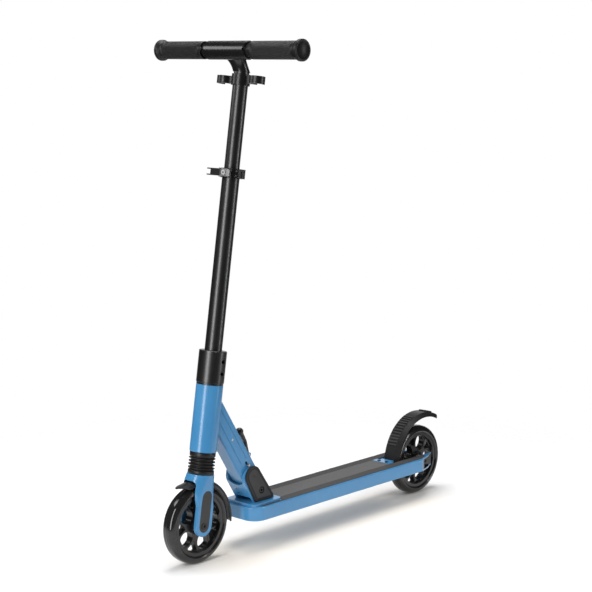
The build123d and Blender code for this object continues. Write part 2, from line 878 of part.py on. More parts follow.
def t_bar():
    """One casting: a spigot in the tube, a stem that sweeps forward and a sleeve for the two handles."""
    inner = upper_tube_radius - upper_tube_wall
    spigot = rod(inner, upper_tube_top - stem_spigot, upper_tube_top + 1)
    rise = bar_height - upper_tube_top
    foot = upper_tube_radius + stem_collar
    stem = loft(
        [
            Pos(0, 0, upper_tube_top) * RectangleRounded(2 * foot, 2 * foot, foot - 0.5),
            Pos(bar_reach * 0.25, 0, upper_tube_top + rise * 0.38)
            * RectangleRounded(2 * foot - 2, 2 * foot + 1, foot - 2),
            Pos(bar_reach * 0.86, 0, bar_height - sleeve_radius * 0.35)
            * RectangleRounded(2 * foot - 4, stem_web_width, foot - stem_corner),
        ]
    )
    bar = Pos(bar_reach, 0, bar_height)
    half = sleeve_length / 2
    sleeve = bar * cross_rod(sleeve_radius, 0, 0, -half, half)
    rims = sleeve.edges().filter_by(GeomType.CIRCLE)
    sleeve = chamfer(rims, sleeve_edge)
    body = spigot + stem + sleeve
    for side in (-1, 1):
        notch = Polygon((0, 0), (grip_tooth + 1, notch_half), (grip_tooth + 1, -notch_half), align=None)
        cut = extrude(Plane.YZ * notch, 2 * sleeve_radius, dir=(1, 0, 0))
        body -= bar * Pos(0, side * (half - grip_tooth), 0) * (cut if side > 0 else mirror(cut, Plane.XZ))
        low, high = sorted((side * (half - handle_engagement - 1), side * (half + 1)))
        body -= bar * cross_rod(handle_bore, 0, 0, low, high)
    return body


def bar_clip():
    """A ring on the tube with a snap socket at each side, which holds the handles put away."""
    low = clip_bottom
    high = clip_bottom + clip_height
    middle = (low + high) / 2
    body = ring(upper_tube_radius + clip_wall, upper_tube_radius, low, high)
    bore = handle_radius - clip_squeeze
    arm_low = middle - clip_arm_height / 2
    arm_high = middle + clip_arm_height / 2
    for side in (-1, 1):
        y = side * clip_socket_y
        inner, outer = sorted((side * (upper_tube_radius + 1), y))
        body += block((-clip_arm_half, clip_arm_half), (inner, outer), (arm_low, arm_high))
        socket = Pos(0, y, 0) * rod(bore + clip_socket_wall, arm_low, arm_high)
        body += socket
        body -= Pos(0, y, 0) * rod(bore, low - 1, high + 1)
        body -= block((-past, 0), (y - clip_mouth / 2, y + clip_mouth / 2), (low - 1, high + 1))
    return body


def handle_tube(side):
    half = sleeve_length / 2
    low = half - handle_engagement
    high = bar_length / 2 - handle_end_gap
    tube = cross_rod(handle_radius, 0, 0, low, high)
    tube -= cross_rod(handle_radius - handle_wall, 0, 0, low - 1, high + 1)
    return place_handle(tube, side)


def grip(side):
    """The rubber sleeve: a plain collar with a locating tooth, the grip and an end ring."""
    end = bar_length / 2 - end_flange_length
    body = cross_rod(grip_radius, 0, 0, grip_start, end)
    body = chamfer(body.edges().filter_by(GeomType.CIRCLE), grip_edge)
    body -= ring_groove(grip_start + grip_collar)
    body -= ring_groove(end - grip_collar)
    corners = ((grip_edge, grip_tooth_half), (-grip_tooth, 0), (grip_edge, -grip_tooth_half))
    tooth = Polygon(*corners, align=None)
    tooth = Pos(0, grip_start, 0) * extrude(Plane.YZ * tooth, grip_radius, dir=(1, 0, 0))
    tooth &= cross_rod(grip_radius, 0, 0, 0, end)
    body += tooth
    return place_handle(body - cross_rod(handle_radius, 0, 0, 0, end + 1), side)


def ring_groove(y):
    """A shallow turned line round the grip at station y."""
    outer = cross_rod(grip_radius + 1, 0, 0, y - grip_line, y + grip_line)
    return outer - cross_rod(grip_radius - grip_line, 0, 0, y - 1, y + 1)


def grip_end(side):
    """The flared end plug that closes the handle."""
    low = bar_length / 2 - end_flange_length
    high = bar_length / 2
    body = cross_rod(end_flange_radius, 0, 0, low, high)
    outer = [edge for edge in body.edges().filter_by(GeomType.CIRCLE) if edge.center().Y > high - 0.1]
    body = fillet(outer, end_flange_round)
    inner = [edge for edge in body.edges().filter_by(GeomType.CIRCLE) if edge.center().Y < low + 0.1]
    body = chamfer(inner, end_flange_flare)
    body -= cross_rod(end_flange_radius - end_face_rim, 0, 0, high - end_face_depth, high + 1)
    body -= cross_rod(handle_radius, 0, 0, low - 1, high - handle_end_gap)
    body += cross_rod(handle_radius - handle_wall, 0, 0, low - end_plug, high - 1)
    return place_handle(body, side)


def place_handle(shape, side):
    shape = shape if side > 0 else mirror(shape, Plane.XZ)
    return Pos(bar_reach, 0, bar_height) * shape


# Neck, in its own frame: Z runs up the neck from the fold pivot, +X is its front face

def neck():
    half_depth = neck_depth / 2
    half_width = neck_width / 2
    body = block((-half_depth, half_depth), (-half_width, half_width), (0, neck_length))
    body = fillet(body.edges().filter_by(Axis.Z), neck_round)
    knuckle = cross_rod(half_depth, 0, 0, -half_width, half_width)
    body += knuckle & block((-past, past), (-past, past), (-past, neck_wall))
    inner_depth = half_depth - neck_wall
    inner_width = half_width - neck_wall
    span = (half_depth, neck_length - neck_plug)
    cavity = block((-inner_depth, inner_depth), (-inner_width, inner_width), span)
    body -= cavity
    body -= cross_rod(pivot_radius + running_gap, 0, 0, -half_width - 1, half_width + 1)
    for side in (-1, 1):
        for offset in (-neck_groove_offset, neck_groove_offset):
            low, high = sorted((side * (half_width - neck_groove_depth), side * (half_width + 1)))
            x = (offset - neck_groove / 2, offset + neck_groove / 2)
            body -= block(x, (low, high), (neck_groove_start, neck_length))
    body -= latch_slot()
    body -= cross_rod(neck_pin_radius, 0, neck_pin_height, -past, past)
    lugs = release_lugs()
    body += lugs
    placed = neck_frame * body
    keep_out = rod(head_radius, 0, head_top + past)
    keep_out += block((0, past), (-past, past), (0, head_top + past))
    return placed - steer_frame * keep_out


def latch_slot():
    wide = latch_radius + slide_gap
    slot = block((latch_x - wide, latch_x + wide), (-past, past), (latch_z, latch_z + latch_travel))
    slot += cross_rod(wide, latch_x, latch_z, -past, past)
    slot += cross_rod(wide, latch_x, latch_z + latch_travel, -past, past)
    return slot


def release_lugs():
    """Two ears on the neck's rear face that carry the lever's pin."""
    ears = None
    for side in (-1, 1):
        near = side * (lever_half_width + seat_gap)
        low, high = sorted((near, near + side * lug_wall))
        root_x = lug_root - neck_depth / 2
        outline = hull_of([(lever_pivot_x, lever_pivot_z, lug_radius), (root_x, lever_pivot_z, lug_radius)])
        ear = side_plate(outline, low, high)
        ear -= cross_rod(lever_pin_radius, lever_pivot_x, lever_pivot_z, -past, past)
        ear -= block((root_x - lug_root / 2, past), (-past, past), (-past, past))
        ears = ear if ears is None else ears + ear
    return ears


def neck_pin():
    reach = neck_width / 2 + neck_pin_proud
    return neck_frame * cross_rod(neck_pin_radius, 0, neck_pin_height, -reach, reach)


def release_lever():
    half = lever_half_width
    thin = lever_thickness / 2
    eye = -lever_pivot_x - neck_depth / 2 - seat_gap
    outline = hull_of([(lever_pivot_x, lever_pivot_z, eye), (lever_stand_off, lever_rise, thin)])
    outline += hull_of([(lever_stand_off, lever_rise, thin), (knob_centre_x, knob_centre_z, knob_neck)])
    body = side_plate(outline, -half, half)
    body = chamfer([edge for edge in body.edges() if abs(abs(edge.center().Y) - half) < 0.01], lever_edge)
    body += Pos(knob_centre_x, 0, knob_centre_z) * Sphere(knob_radius)
    body -= cross_rod(lever_pin_radius + running_gap, lever_pivot_x, lever_pivot_z, -past, past)
    return neck_frame * body


def release_pin():
    reach = lever_half_width + seat_gap + lug_wall
    return neck_frame * cross_rod(lever_pin_radius, lever_pivot_x, lever_pivot_z, -reach, reach)


def latch_pin():
    reach = cheek_outer - latch_short
    pin = cross_rod(latch_radius, latch_x, latch_z, -reach, reach)
    return neck_frame * chamfer(pin.edges().filter_by(GeomType.CIRCLE), latch_chamfer)


# Fold bracket on the deck

def neck_point(x, z):
    """Row X and Z of a point given in the neck's own axes."""
    return (
        pivot_x + x * math.cos(lean) + z * math.sin(lean),
        pivot_z - x * math.sin(lean) + z * math.cos(lean),
    )


def cheek_outline():
    corner = cheek_corner
    top_x, top_z = neck_point(cheek_round_x, cheek_round_z)
    front = cheek_round_x + cheek_round - corner
    down = (bracket_top - cheek_root + corner - pivot_z + front * math.sin(lean)) / math.cos(lean)
    foot_x, foot_z = neck_point(front, down)
    rear_x = bracket_rear + cheek_tail_inset
    return hull_of([(top_x, top_z, cheek_round), (foot_x, foot_z, corner), (rear_x, foot_z, corner)])


def hinge_bracket():
    """One casting: a base on the deck, a cheek each side of the neck and a dipped lip across the front."""
    length = bracket_front - bracket_rear
    base = RectangleRounded(length, 2 * bracket_half_width, bracket_corner)
    base = Pos((bracket_front + bracket_rear) / 2, 0, deck_top) * base
    body = extrude(base, bracket_base)
    lip_low = neck_depth / 2 + lip_gap
    lip_half = cheek_inner + cheek_wall / 2
    lip = block((lip_low, lip_low + lip_wall), (-lip_half, lip_half), (lip_bottom, lip_top))
    lip -= Pos(0, 0, lip_top + lip_dip * 0.4) * Rot(0, 90, 0) * rod(lip_dip, 0, past)
    for height in (lip_hole_low, lip_hole_high):
        lip -= Pos(0, lip_hole_y, height) * Rot(0, 90, 0) * rod(lip_hole_radius, 0, past)
    for side in (-1, 1):
        low, high = sorted((side * cheek_inner, side * cheek_outer))
        body += side_plate(cheek_outline(), low, high)
    body += neck_frame * lip
    body -= cross_rod(pivot_radius, pivot_x, pivot_z, -cheek_outer - 1, cheek_outer + 1)
    for x, y in bracket_screw_places():
        body -= Pos(x, y, 0) * rod(bracket_screw_radius, deck_top - 1, bracket_top - bracket_screw_cover)
    return body


def bracket_screw_places():
    ends = (bracket_rear + bracket_screw_edge, bracket_front - bracket_screw_lead)
    return [(x, y) for x in ends for y in (-bracket_screw_half_span, bracket_screw_half_span)]


def bracket_screws():
    """Four screws driven up from below the foot plate, so that the base has a clean top."""
    screws = []
    seat = deck_top - deck_plate
    for x, y in bracket_screw_places():
        screw = rod(bracket_screw_radius, seat, bracket_top - bracket_screw_cover)
        screw += rod(bracket_screw_head, seat - bracket_screw_head_height, seat)
        socket = Pos(0, 0, seat - bracket_screw_head_height - 1) * RegularPolygon(bracket_screw_socket, 6)
        screw -= extrude(socket, bracket_screw_head_height)
        screws.append(Pos(x, y, 0) * screw)
    return solids_of(screws)


def pivot_bolt():
    shank = cross_rod(pivot_radius, 0, 0, -cheek_outer, cheek_outer)
    top = cover_outer - pivot_head_sunk
    head = cross_rod(pivot_head_radius, 0, 0, cheek_outer, top)
    head -= side_plate(RegularPolygon(pivot_socket, 6), cheek_outer + cover_wall / 3, cover_outer)
    nut = cross_rod(pivot_head_radius, 0, 0, -top, -cheek_outer)
    return Pos(pivot_x, 0, pivot_z) * (shank + head + nut)


def hinge_cover(side):
    """A moulded tombstone plate over each cheek, with a raised field and a hole for the pivot bolt."""
    round_x, round_z = neck_point(cover_round_x, cover_round_z)
    low_z = bracket_top + seat_gap + cover_corner
    front_x, _ = neck_point(cheek_round_x + cheek_round - cover_setback, 0)
    rear_x = bracket_rear + cheek_tail_inset + cover_corner
    feet = [(front_x, low_z, cover_corner), (rear_x, low_z, cover_corner)]
    low, high = sorted((side * cheek_outer, side * cover_outer))
    body = side_plate(hull_of([(round_x, round_z, cover_round)] + feet), low, high)
    rim = [edge for edge in body.edges() if abs(edge.center().Y - side * cover_outer) < 0.01]
    body = chamfer(rim, cover_edge)
    body -= cross_rod(pivot_head_radius + cover_bolt_gap, pivot_x, pivot_z, -past, past)
    dimple, top = sorted((side * (cover_outer - cover_dimple_depth), side * (cover_outer + 1)))
    return body - cross_rod(cover_dimple, round_x, round_z, dimple, top)


# Deck

def deck():
    """A box rail each side joined by the foot plate, with a closed nose and a slot for the wheel."""
    length = deck_front - rail_tip
    outline = Pos((deck_front + rail_tip) / 2, 0) * Rectangle(length, deck_width)
    outline = fillet(outline.vertices().sort_by(Axis.X)[-2:], deck_corner)
    body = extrude(Pos(0, 0, deck_bottom) * outline, deck_height)
    levels = body.edges().group_by(Axis.Z)
    rims = [edge for edge in levels[0] + levels[-1] if edge.center().X > rail_tip + 1]
    body = fillet(rims, deck_edge)
    span = deck_front - nose_wall
    body -= block((rail_tip - 1, span), (-rail_inner, rail_inner), (deck_bottom - 1, deck_top - deck_plate))
    body -= block((rail_tip - 1, slot_front), (-rail_inner, rail_inner), (deck_bottom - 1, deck_top + 1))
    for side in (-1, 1):
        low, high = sorted((side * (rail_inner + rail_wall), side * (rail_outer - rail_wall)))
        cavity = (deck_bottom + rail_wall, deck_top - rail_wall)
        body -= block((rail_tip - 1, span - deck_corner), (low, high), cavity)
        cut = Polygon(
            (rail_end, rail_outer + 1),
            (rail_end, rail_outer),
            (rail_end - rail_taper, rail_outer - rail_taper_in),
            (rail_tip + rail_tip_flat, rail_inner + rail_wall),
            (rail_tip - 1, rail_inner + rail_wall),
            (rail_tip - 1, rail_outer + 1),
            align=None,
        )
        cut = cut if side > 0 else mirror(cut, Plane.XZ)
        body -= extrude(Pos(0, 0, deck_bottom - 1) * cut, deck_height + 2, dir=(0, 0, 1))
    reach = rail_inner + rail_wall + 1
    body -= rear_frame * cross_rod(axle_radius + slide_gap, 0, 0, -reach, reach)
    for x, y in bracket_screw_places():
        body -= Pos(x, y, 0) * rod(bracket_screw_radius, deck_top - deck_plate, deck_top + 1)
    for x, y in brake_screw_places():
        body -= Pos(x, y, 0) * rod(brake_screw_radius, deck_top - deck_plate, deck_top + 1)
    return body


def grip_tape():
    """Three strips: one along each rail and a wider one down the middle, behind the fold bracket."""
    edge = rail_outer - deck_edge - tape_edge
    strips = []
    for side in (-1, 1):
        outline = Polygon(
            (tape_front - tape_nose, side * edge),
            (tape_front, side * (edge - tape_nose_in)),
            (tape_front, side * (bracket_half_width + tape_seam)),
            (bracket_rear - tape_seam, side * (bracket_half_width + tape_seam)),
            (bracket_rear - tape_seam, side * (rail_inner + tape_seam)),
            (rail_end - tape_tail, side * (rail_inner + tape_seam)),
            (rail_end - tape_tail, side * (rail_outer - tape_tail_in)),
            (rail_end, side * edge),
            align=None,
        )
        strips.append(extrude(Pos(0, 0, deck_top) * outline, tape_thickness, dir=(0, 0, 1)))
    middle = block(
        (brake_plate_front + tape_seam, bracket_rear - tape_seam),
        (-rail_inner, rail_inner),
        (deck_top, deck_top + tape_thickness),
    )
    strips.append(middle)
    return solids_of(strips)


# Rear brake, whose curve is centred a little behind and above the rear axle

def brake_screw_places():
    x = brake_plate_front - brake_screw_edge
    return [(x, -brake_screw_half_span), (x, brake_screw_half_span)]


def brake_bracket():
    """A small plate on the end of the foot plate, with two ears that hang down into the slot."""
    half = rail_inner - brake_plate_side_gap
    top = deck_top + brake_plate_wall
    body = block((slot_front, brake_plate_front), (-half, half), (deck_top, top))
    near = brake_barrel_half + brake_lug_gap
    far = near + brake_lug_wall
    body += block((brake_pin_x - brake_barrel_radius, slot_front + 1), (-far, far), (deck_top, top))
    outline = hull_of([(brake_pin_x, z, brake_barrel_radius) for z in (brake_pin_z, deck_top)])
    for side in (-1, 1):
        low, high = sorted((side * near, side * far))
        ear = side_plate(outline, low, high)
        above = (deck_top + brake_plate_wall / 2, deck_top + past)
        body += ear - block((brake_pin_x - past, brake_pin_x + past), (low - 1, high + 1), above)
    body -= cross_rod(brake_pin_radius, brake_pin_x, brake_pin_z, -past, past)
    for x, y in brake_screw_places():
        body -= Pos(x, y, 0) * rod(brake_screw_radius, deck_top - 1, top + 1)
    return body


def brake_screws():
    screws = []
    for x, y in brake_screw_places():
        seat = deck_top + brake_plate_wall
        screw = rod(brake_screw_radius, deck_top - deck_plate, seat)
        screws.append(Pos(x, y, 0) * (screw + rod(brake_screw_head, seat, seat + brake_screw_head_height)))
    return solids_of(screws)


def brake_pin():
    reach = brake_barrel_half + brake_lug_gap + brake_lug_wall
    return cross_rod(brake_pin_radius, brake_pin_x, brake_pin_z, -reach, reach)


def brake_guard():
    """The arched mudguard that is trodden on: ribs across its front, a raised pad on its tail."""
    centre = rear_frame * Pos(brake_centre_x, 0, brake_centre_z)
    section = channel_section(brake_radius, brake_half_width, brake_crown, brake_wall, brake_flat)
    sweep = brake_tail_angle - brake_front_angle
    guard = revolve(radial_plane(brake_tail_angle) * section, Axis.Y, revolution_arc=sweep)
    step = (brake_rib_end_angle - brake_rib_start_angle) / (brake_ribs - 1)
    rib_half = brake_half_width * brake_band
    for index in range(brake_ribs):
        angle = brake_rib_start_angle + index * step
        rib = block(
            (brake_radius - brake_wall / 2, brake_radius + brake_rib_height),
            (-rib_half, rib_half),
            (-brake_rib_width / 2, brake_rib_width / 2),
        )
        rib = chamfer(rib.edges().group_by(Axis.X)[-1], brake_rib_edge)
        guard += Rot(0, -angle, 0) * rib
    pad = block(
        (brake_radius - brake_wall / 2, brake_radius + brake_pad_height),
        (-brake_pad_half, brake_pad_half),
        (-brake_pad_length / 2, brake_pad_length / 2),
    )
    pad = chamfer(pad.edges().group_by(Axis.X)[-1], brake_pad_edge)
    guard += Rot(0, -(brake_tail_angle - brake_pad_angle), 0) * pad
    for side in (-1, 1):
        corner = brake_half_width - brake_tail_corner
        low, high = sorted((side * corner, side * (brake_half_width + 1)))
        waste = block((0, past), (low, high), (-brake_tail_corner, brake_tail_corner))
        round_end = Rot(0, 90, 0) * rod(brake_tail_corner, -1, past)
        waste -= Pos(0, side * corner, -brake_tail_corner) * round_end
        guard -= Rot(0, -brake_tail_angle, 0) * waste
    guard = centre * guard
    barrel = cross_rod(brake_barrel_radius, brake_pin_x, brake_pin_z, -brake_barrel_half, brake_barrel_half)
    foot = block(
        (rear_axle_x + brake_centre_x + brake_radius - brake_wall, brake_pin_x),
        (-brake_barrel_half, brake_barrel_half),
        (brake_pin_z - brake_pin_radius, brake_pin_z + brake_barrel_radius),
    )
    guard += barrel + foot
    return guard - cross_rod(brake_pin_radius + running_gap, brake_pin_x, brake_pin_z, -past, past)


pieces = {}
pieces.update(wheel_set("front", front_axle_x))
pieces.update(wheel_set("rear", rear_axle_x))

fork_seat = leg_outer - inlay_depth - axle_head_height / 2
pieces["front_axle"], pieces["front_axle_nut"] = axle_bolt(steer_frame, fork_seat)
pieces["front_axle_spacers"] = axle_spacers(steer_frame, fork_slot)
pieces["rear_axle"], pieces["rear_axle_nut"] = axle_bolt(rear_frame, rail_inner + rail_wall)
pieces["rear_axle_spacers"] = axle_spacers(rear_frame, rail_inner)

steered = {
    "fork": fork(),
    "fork_inlays": fork_inlays(),
    "front_mudguard": front_mudguard(),
    "mudguard_screw": mudguard_screw(),
    "stanchion": stanchion(),
    "boot": boot(),
    "head_tube": head_tube(),
    "headset_bearings": headset_bearings(),
    "headset_cap": cap_ring(),
    "column_collar": column_collar(),
    "collar_bolts": collar_bolts(),
    "lower_race": lower_race(),
    "lower_tube": lower_tube(),
    "key_pin": key_pin(),
    "spring_stop": spring_stop(),
    "suspension_spring": suspension_spring(),
    "qr_clamp": qr_clamp(),
    "qr_screws": qr_screws(),
    "qr_block": qr_block(),
    "qr_lever": qr_lever(),
    "qr_lever_pin": qr_lever_pin(),
    "upper_tube": upper_tube(),
    "t_bar": t_bar(),
    "bar_clip": bar_clip(),
}
for side, label in ((1, "left"), (-1, "right")):
    steered["handle_tube_" + label] = handle_tube(side)
    steered["grip_" + label] = grip(side)
    steered["grip_end_" + label] = grip_end(side)
    pieces["hinge_cover_" + label] = hinge_cover(side)
for name, shape in steered.items():
    pieces[name] = steer_frame * shape

pieces["neck"] = neck()
pieces["neck_pin"] = neck_pin()
pieces["release_lever"] = release_lever()
pieces["release_pin"] = release_pin()
pieces["latch_pin"] = latch_pin()
pieces["hinge_bracket"] = hinge_bracket()
pieces["bracket_screws"] = bracket_screws()
pieces["pivot_bolt"] = pivot_bolt()
pieces["deck"] = deck()
pieces["grip_tape"] = grip_tape()
pieces["brake_bracket"] = brake_bracket()
pieces["brake_screws"] = brake_screws()
pieces["brake_pin"] = brake_pin()
pieces["brake_guard"] = brake_guard()

for name, shape in pieces.items():
    export_step(shape, "parts/" + name + ".step")
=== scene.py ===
# %% [markdown]
# # A folding kick scooter
# The solids come from the CAD frame and stay where they are. This lesson gives them their finishes, adds
# the soft and finely repeated pieces, and sets the floor, the camera and the light for one three-quarter
# view.

# %% Load the frame
import math

import bmesh
import bpy
from mathutils import Matrix, Vector


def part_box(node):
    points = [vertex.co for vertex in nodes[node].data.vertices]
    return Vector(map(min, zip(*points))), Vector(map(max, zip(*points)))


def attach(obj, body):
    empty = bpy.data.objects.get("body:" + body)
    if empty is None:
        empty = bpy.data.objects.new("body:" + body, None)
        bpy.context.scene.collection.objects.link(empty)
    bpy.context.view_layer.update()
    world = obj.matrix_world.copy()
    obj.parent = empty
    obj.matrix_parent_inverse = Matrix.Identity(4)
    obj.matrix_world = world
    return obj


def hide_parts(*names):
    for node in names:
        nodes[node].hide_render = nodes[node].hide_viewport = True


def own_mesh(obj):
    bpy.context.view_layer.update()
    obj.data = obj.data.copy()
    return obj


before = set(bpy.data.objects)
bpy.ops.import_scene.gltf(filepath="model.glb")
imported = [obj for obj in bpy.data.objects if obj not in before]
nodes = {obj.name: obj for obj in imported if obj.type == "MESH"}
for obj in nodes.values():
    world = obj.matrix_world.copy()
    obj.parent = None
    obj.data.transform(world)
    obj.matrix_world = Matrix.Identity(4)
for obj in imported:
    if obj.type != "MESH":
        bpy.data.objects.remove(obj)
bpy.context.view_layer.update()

# %% [markdown]
# ## Two working frames
# Most pieces belong to one of two lines: the steering line, which starts at the front axle and leans back,
# and the ground under the deck and wheels. A matrix for the steering line lets each piece be drawn upright
# and then carried to its place in one step, which is easier to read than worked-out coordinates.

# %% Frames
MM = 0.001
WHEEL_RADIUS = 72.5
HALF_BASE = 317.0
HEAD_RAKE = math.radians(8.75)
STEER = Matrix.Translation((HALF_BASE * MM, 0, WHEEL_RADIUS * MM)) @ Matrix.Rotation(-HEAD_RAKE, 4, "Y")
STEER_FORWARD = STEER.to_3x3() @ Vector((1, 0, 0))


def steer_point(x, y, z):
    """Place in metres of a point that is given in millimetres on the steering line."""
    return STEER @ Vector((x * MM, y * MM, z * MM))


# %% [markdown]
# ## Shader groups
# Several finishes share the same small effects: a fine grain that catches the light, a slow change of tone
# that keeps a large face from looking flat, lines drawn along a tube, and dust that settles near the
# ground. They could be written out in each material, but a node group with named sockets is built once and
# then placed with that material's own values. A few short helpers add and link the nodes.

# %% Node helpers
def colour(red, green, blue):
    return (red, green, blue, 1.0)


def grey(shade):
    return colour(shade, shade, shade)


def join(tree, start, end):
    tree.links.new(start, end)


def add(tree, kind, values=None, **settings):
    """A node with its settings. A value, by socket name or number, is a constant or another node's socket."""
    node = tree.nodes.new(kind)
    for key, value in settings.items():
        setattr(node, key, value)
    for key, value in (values or {}).items():
        if isinstance(value, bpy.types.NodeSocket):
            join(tree, value, node.inputs[key])
        else:
            node.inputs[key].default_value = value
    return node


def maths(tree, operation, first, second=0.0):
    return add(tree, "ShaderNodeMath", {0: first, 1: second}, operation=operation).outputs[0]


def vectors(tree, operation, first, second=(0.0, 0.0, 0.0)):
    """Vector maths. A dot product and a length come out as a number, all else as a vector."""
    node = add(tree, "ShaderNodeVectorMath", {0: first, 1: second}, operation=operation)
    return node.outputs["Value" if operation in ("DOT_PRODUCT", "LENGTH") else "Vector"]


def split(tree, vector):
    """The sockets X, Y and Z of a vector."""
    return add(tree, "ShaderNodeSeparateXYZ", {0: vector}).outputs


def vector_of(tree, **axes):
    """One vector from sockets or numbers for X, Y and Z."""
    return add(tree, "ShaderNodeCombineXYZ", axes).outputs[0]


def noise(tree, vector, scale, detail=2.0, rough=0.5):
    values = {"Vector": vector, "Scale": scale, "Detail": detail, "Roughness": rough}
    return add(tree, "ShaderNodeTexNoise", values).outputs["Fac"]


def map_range(tree, value, low, high, to_low=0.0, to_high=1.0):
    """A smooth step from one range to another."""
    values = {0: value, 1: low, 2: high, 3: to_low, 4: to_high}
    return add(tree, "ShaderNodeMapRange", values, interpolation_type="SMOOTHSTEP").outputs[0]


def mix_colour(tree, factor, first, second):
    return add(tree, "ShaderNodeMix", {0: factor, 6: first, 7: second}, data_type="RGBA").outputs[2]


print("node helpers ready")

# %% Group helpers
SOCKET = {float: "NodeSocketFloat", int: "NodeSocketInt", tuple: "NodeSocketColor"}


def add_inputs(tree, inputs):
    """Named inputs of a group, whose kind follows from the default value."""
    for label, value in inputs.items():
        socket = tree.interface.new_socket(label, in_out="INPUT", socket_type=SOCKET[type(value)])
        socket.default_value = value


def new_group(name, inputs, outputs):
    """A shader group that takes a Vector and the given inputs. Returns it and the sockets at its two ends."""
    tree = bpy.data.node_groups.new(name, "ShaderNodeTree")
    tree.interface.new_socket("Vector", in_out="INPUT", socket_type="NodeSocketVector")
    add_inputs(tree, inputs)
    for label, kind in outputs.items():
        tree.interface.new_socket(label, in_out="OUTPUT", socket_type=SOCKET[kind])
    return tree, tree.nodes.new("NodeGroupInput").outputs, tree.nodes.new("NodeGroupOutput").inputs


print("group sockets", sorted(SOCKET.values()))

# %% Grain, tone, drawn lines and dust
LARGE_GRAIN = 0.22
DRIFT = (0.3, 0.7)
SMUDGES = 5.0
DUST_PATCHES = (0.4, 0.75)


def build_grain():
    """Two sizes of noise added up: the pebbled skin of moulded plastic, rubber or sprayed paint."""
    tree, start, end = new_group("fine_grain", {"Scale": 900.0, "Coarse": 0.4}, {"Height": float})
    small = noise(tree, start["Vector"], start["Scale"], detail=3.0, rough=0.6)
    wide = maths(tree, "MULTIPLY", start["Scale"], LARGE_GRAIN)
    large = noise(tree, start["Vector"], wide, detail=1.0)
    share = maths(tree, "MULTIPLY", large, start["Coarse"])
    join(tree, maths(tree, "ADD", small, share), end["Height"])
    return tree


def build_tone():
    """A slow drift between two tones, with a matching change in roughness."""
    inputs = {"Scale": 9.0, "First": grey(0.1), "Second": grey(0.2), "Rough": 0.4, "Rough Spread": 0.08}
    tree, start, end = new_group("tone_drift", inputs, {"Color": tuple, "Roughness": float})
    drift = noise(tree, start["Vector"], start["Scale"], detail=3.0, rough=0.55)
    mask = map_range(tree, drift, *DRIFT)
    join(tree, mix_colour(tree, mask, start["First"], start["Second"]), end["Color"])
    fine = maths(tree, "MULTIPLY", start["Scale"], SMUDGES)
    smudge = noise(tree, start["Vector"], fine, detail=4.0, rough=0.6)
    swing = maths(tree, "MULTIPLY", maths(tree, "SUBTRACT", smudge, 0.5), start["Rough Spread"])
    join(tree, maths(tree, "ADD", start["Rough"], swing), end["Roughness"])
    return tree


def build_drawn():
    """Fine lines along the steering line, as drawing and sanding leave on a tube before it is anodised."""
    tree, start, end = new_group("drawn_lines", {"Across": 1600.0, "Along": 12.0}, {"Height": float})
    turned = add(tree, "ShaderNodeMapping", {"Vector": start["Vector"], "Rotation": (0, HEAD_RAKE, 0)})
    stretch = vector_of(tree, X=start["Across"], Y=start["Across"], Z=start["Along"])
    lines = vectors(tree, "MULTIPLY", turned.outputs["Vector"], stretch)
    join(tree, noise(tree, lines, scale=1.0), end["Height"])
    return tree


def build_dust():
    """A light film that is thickest near the ground and broken up by noise."""
    inputs = {"Color": grey(0.1), "Dust": colour(0.3, 0.28, 0.25), "Reach": 0.14, "Amount": 0.15}
    tree, start, end = new_group("ground_dust", inputs, {"Color": tuple})
    height = maths(tree, "DIVIDE", split(tree, start["Vector"])["Z"], start["Reach"])
    low = maths(tree, "MAXIMUM", maths(tree, "SUBTRACT", 1.0, height), 0.0)
    clouds = noise(tree, start["Vector"], scale=60.0, detail=4.0, rough=0.65)
    patchy = map_range(tree, clouds, *DUST_PATCHES)
    film = maths(tree, "MULTIPLY", maths(tree, "MULTIPLY", low, patchy), start["Amount"])
    mask = maths(tree, "MINIMUM", film, 1.0)
    join(tree, mix_colour(tree, mask, start["Color"], start["Dust"]), end["Color"])
    return tree


GRAIN = build_grain()
TONE = build_tone()
DRAWN = build_drawn()
DUST = build_dust()
print("groups", [g.name for g in (GRAIN, TONE, DRAWN, DUST)])

# %% [markdown]
# ## Finishes
# Every finish starts the same way: object coordinates feed the tone group, the tone feeds the dust group,
# and a height feeds a bump node. What differs is the pair of tones, the roughness, the grain and a clear
# coat. Object coordinates are plain metres on the whole scooter here, so one finish has the same scale on
# every piece.

# %% Finish helpers
FINISH = {}


def place_group(tree, group, values):
    return add(tree, "ShaderNodeGroup", values, node_tree=group).outputs


def new_finish(name, first, second, rough, spread=0.08, dust=0.1):
    """A material with tone and dust in its colour. Returns the parts that a finish adds to."""
    material = bpy.data.materials.new(name)
    material.use_nodes = True
    tree = material.node_tree
    tree.nodes.clear()
    shader = add(tree, "ShaderNodeBsdfPrincipled")
    add(tree, "ShaderNodeOutputMaterial", {"Surface": shader.outputs[0]})
    where = add(tree, "ShaderNodeTexCoord").outputs["Object"]
    tones = {"Vector": where, "First": first, "Second": second, "Rough": rough, "Rough Spread": spread}
    tone = place_group(tree, TONE, tones)
    film = place_group(tree, DUST, {"Vector": where, "Color": tone["Color"], "Amount": dust})
    join(tree, film["Color"], shader.inputs["Base Color"])
    join(tree, tone["Roughness"], shader.inputs["Roughness"])
    return material, tree, shader, where


def bump(tree, shader, height, strength, distance):
    values = {"Height": height, "Strength": strength, "Distance": distance}
    join(tree, add(tree, "ShaderNodeBump", values).outputs["Normal"], shader.inputs["Normal"])


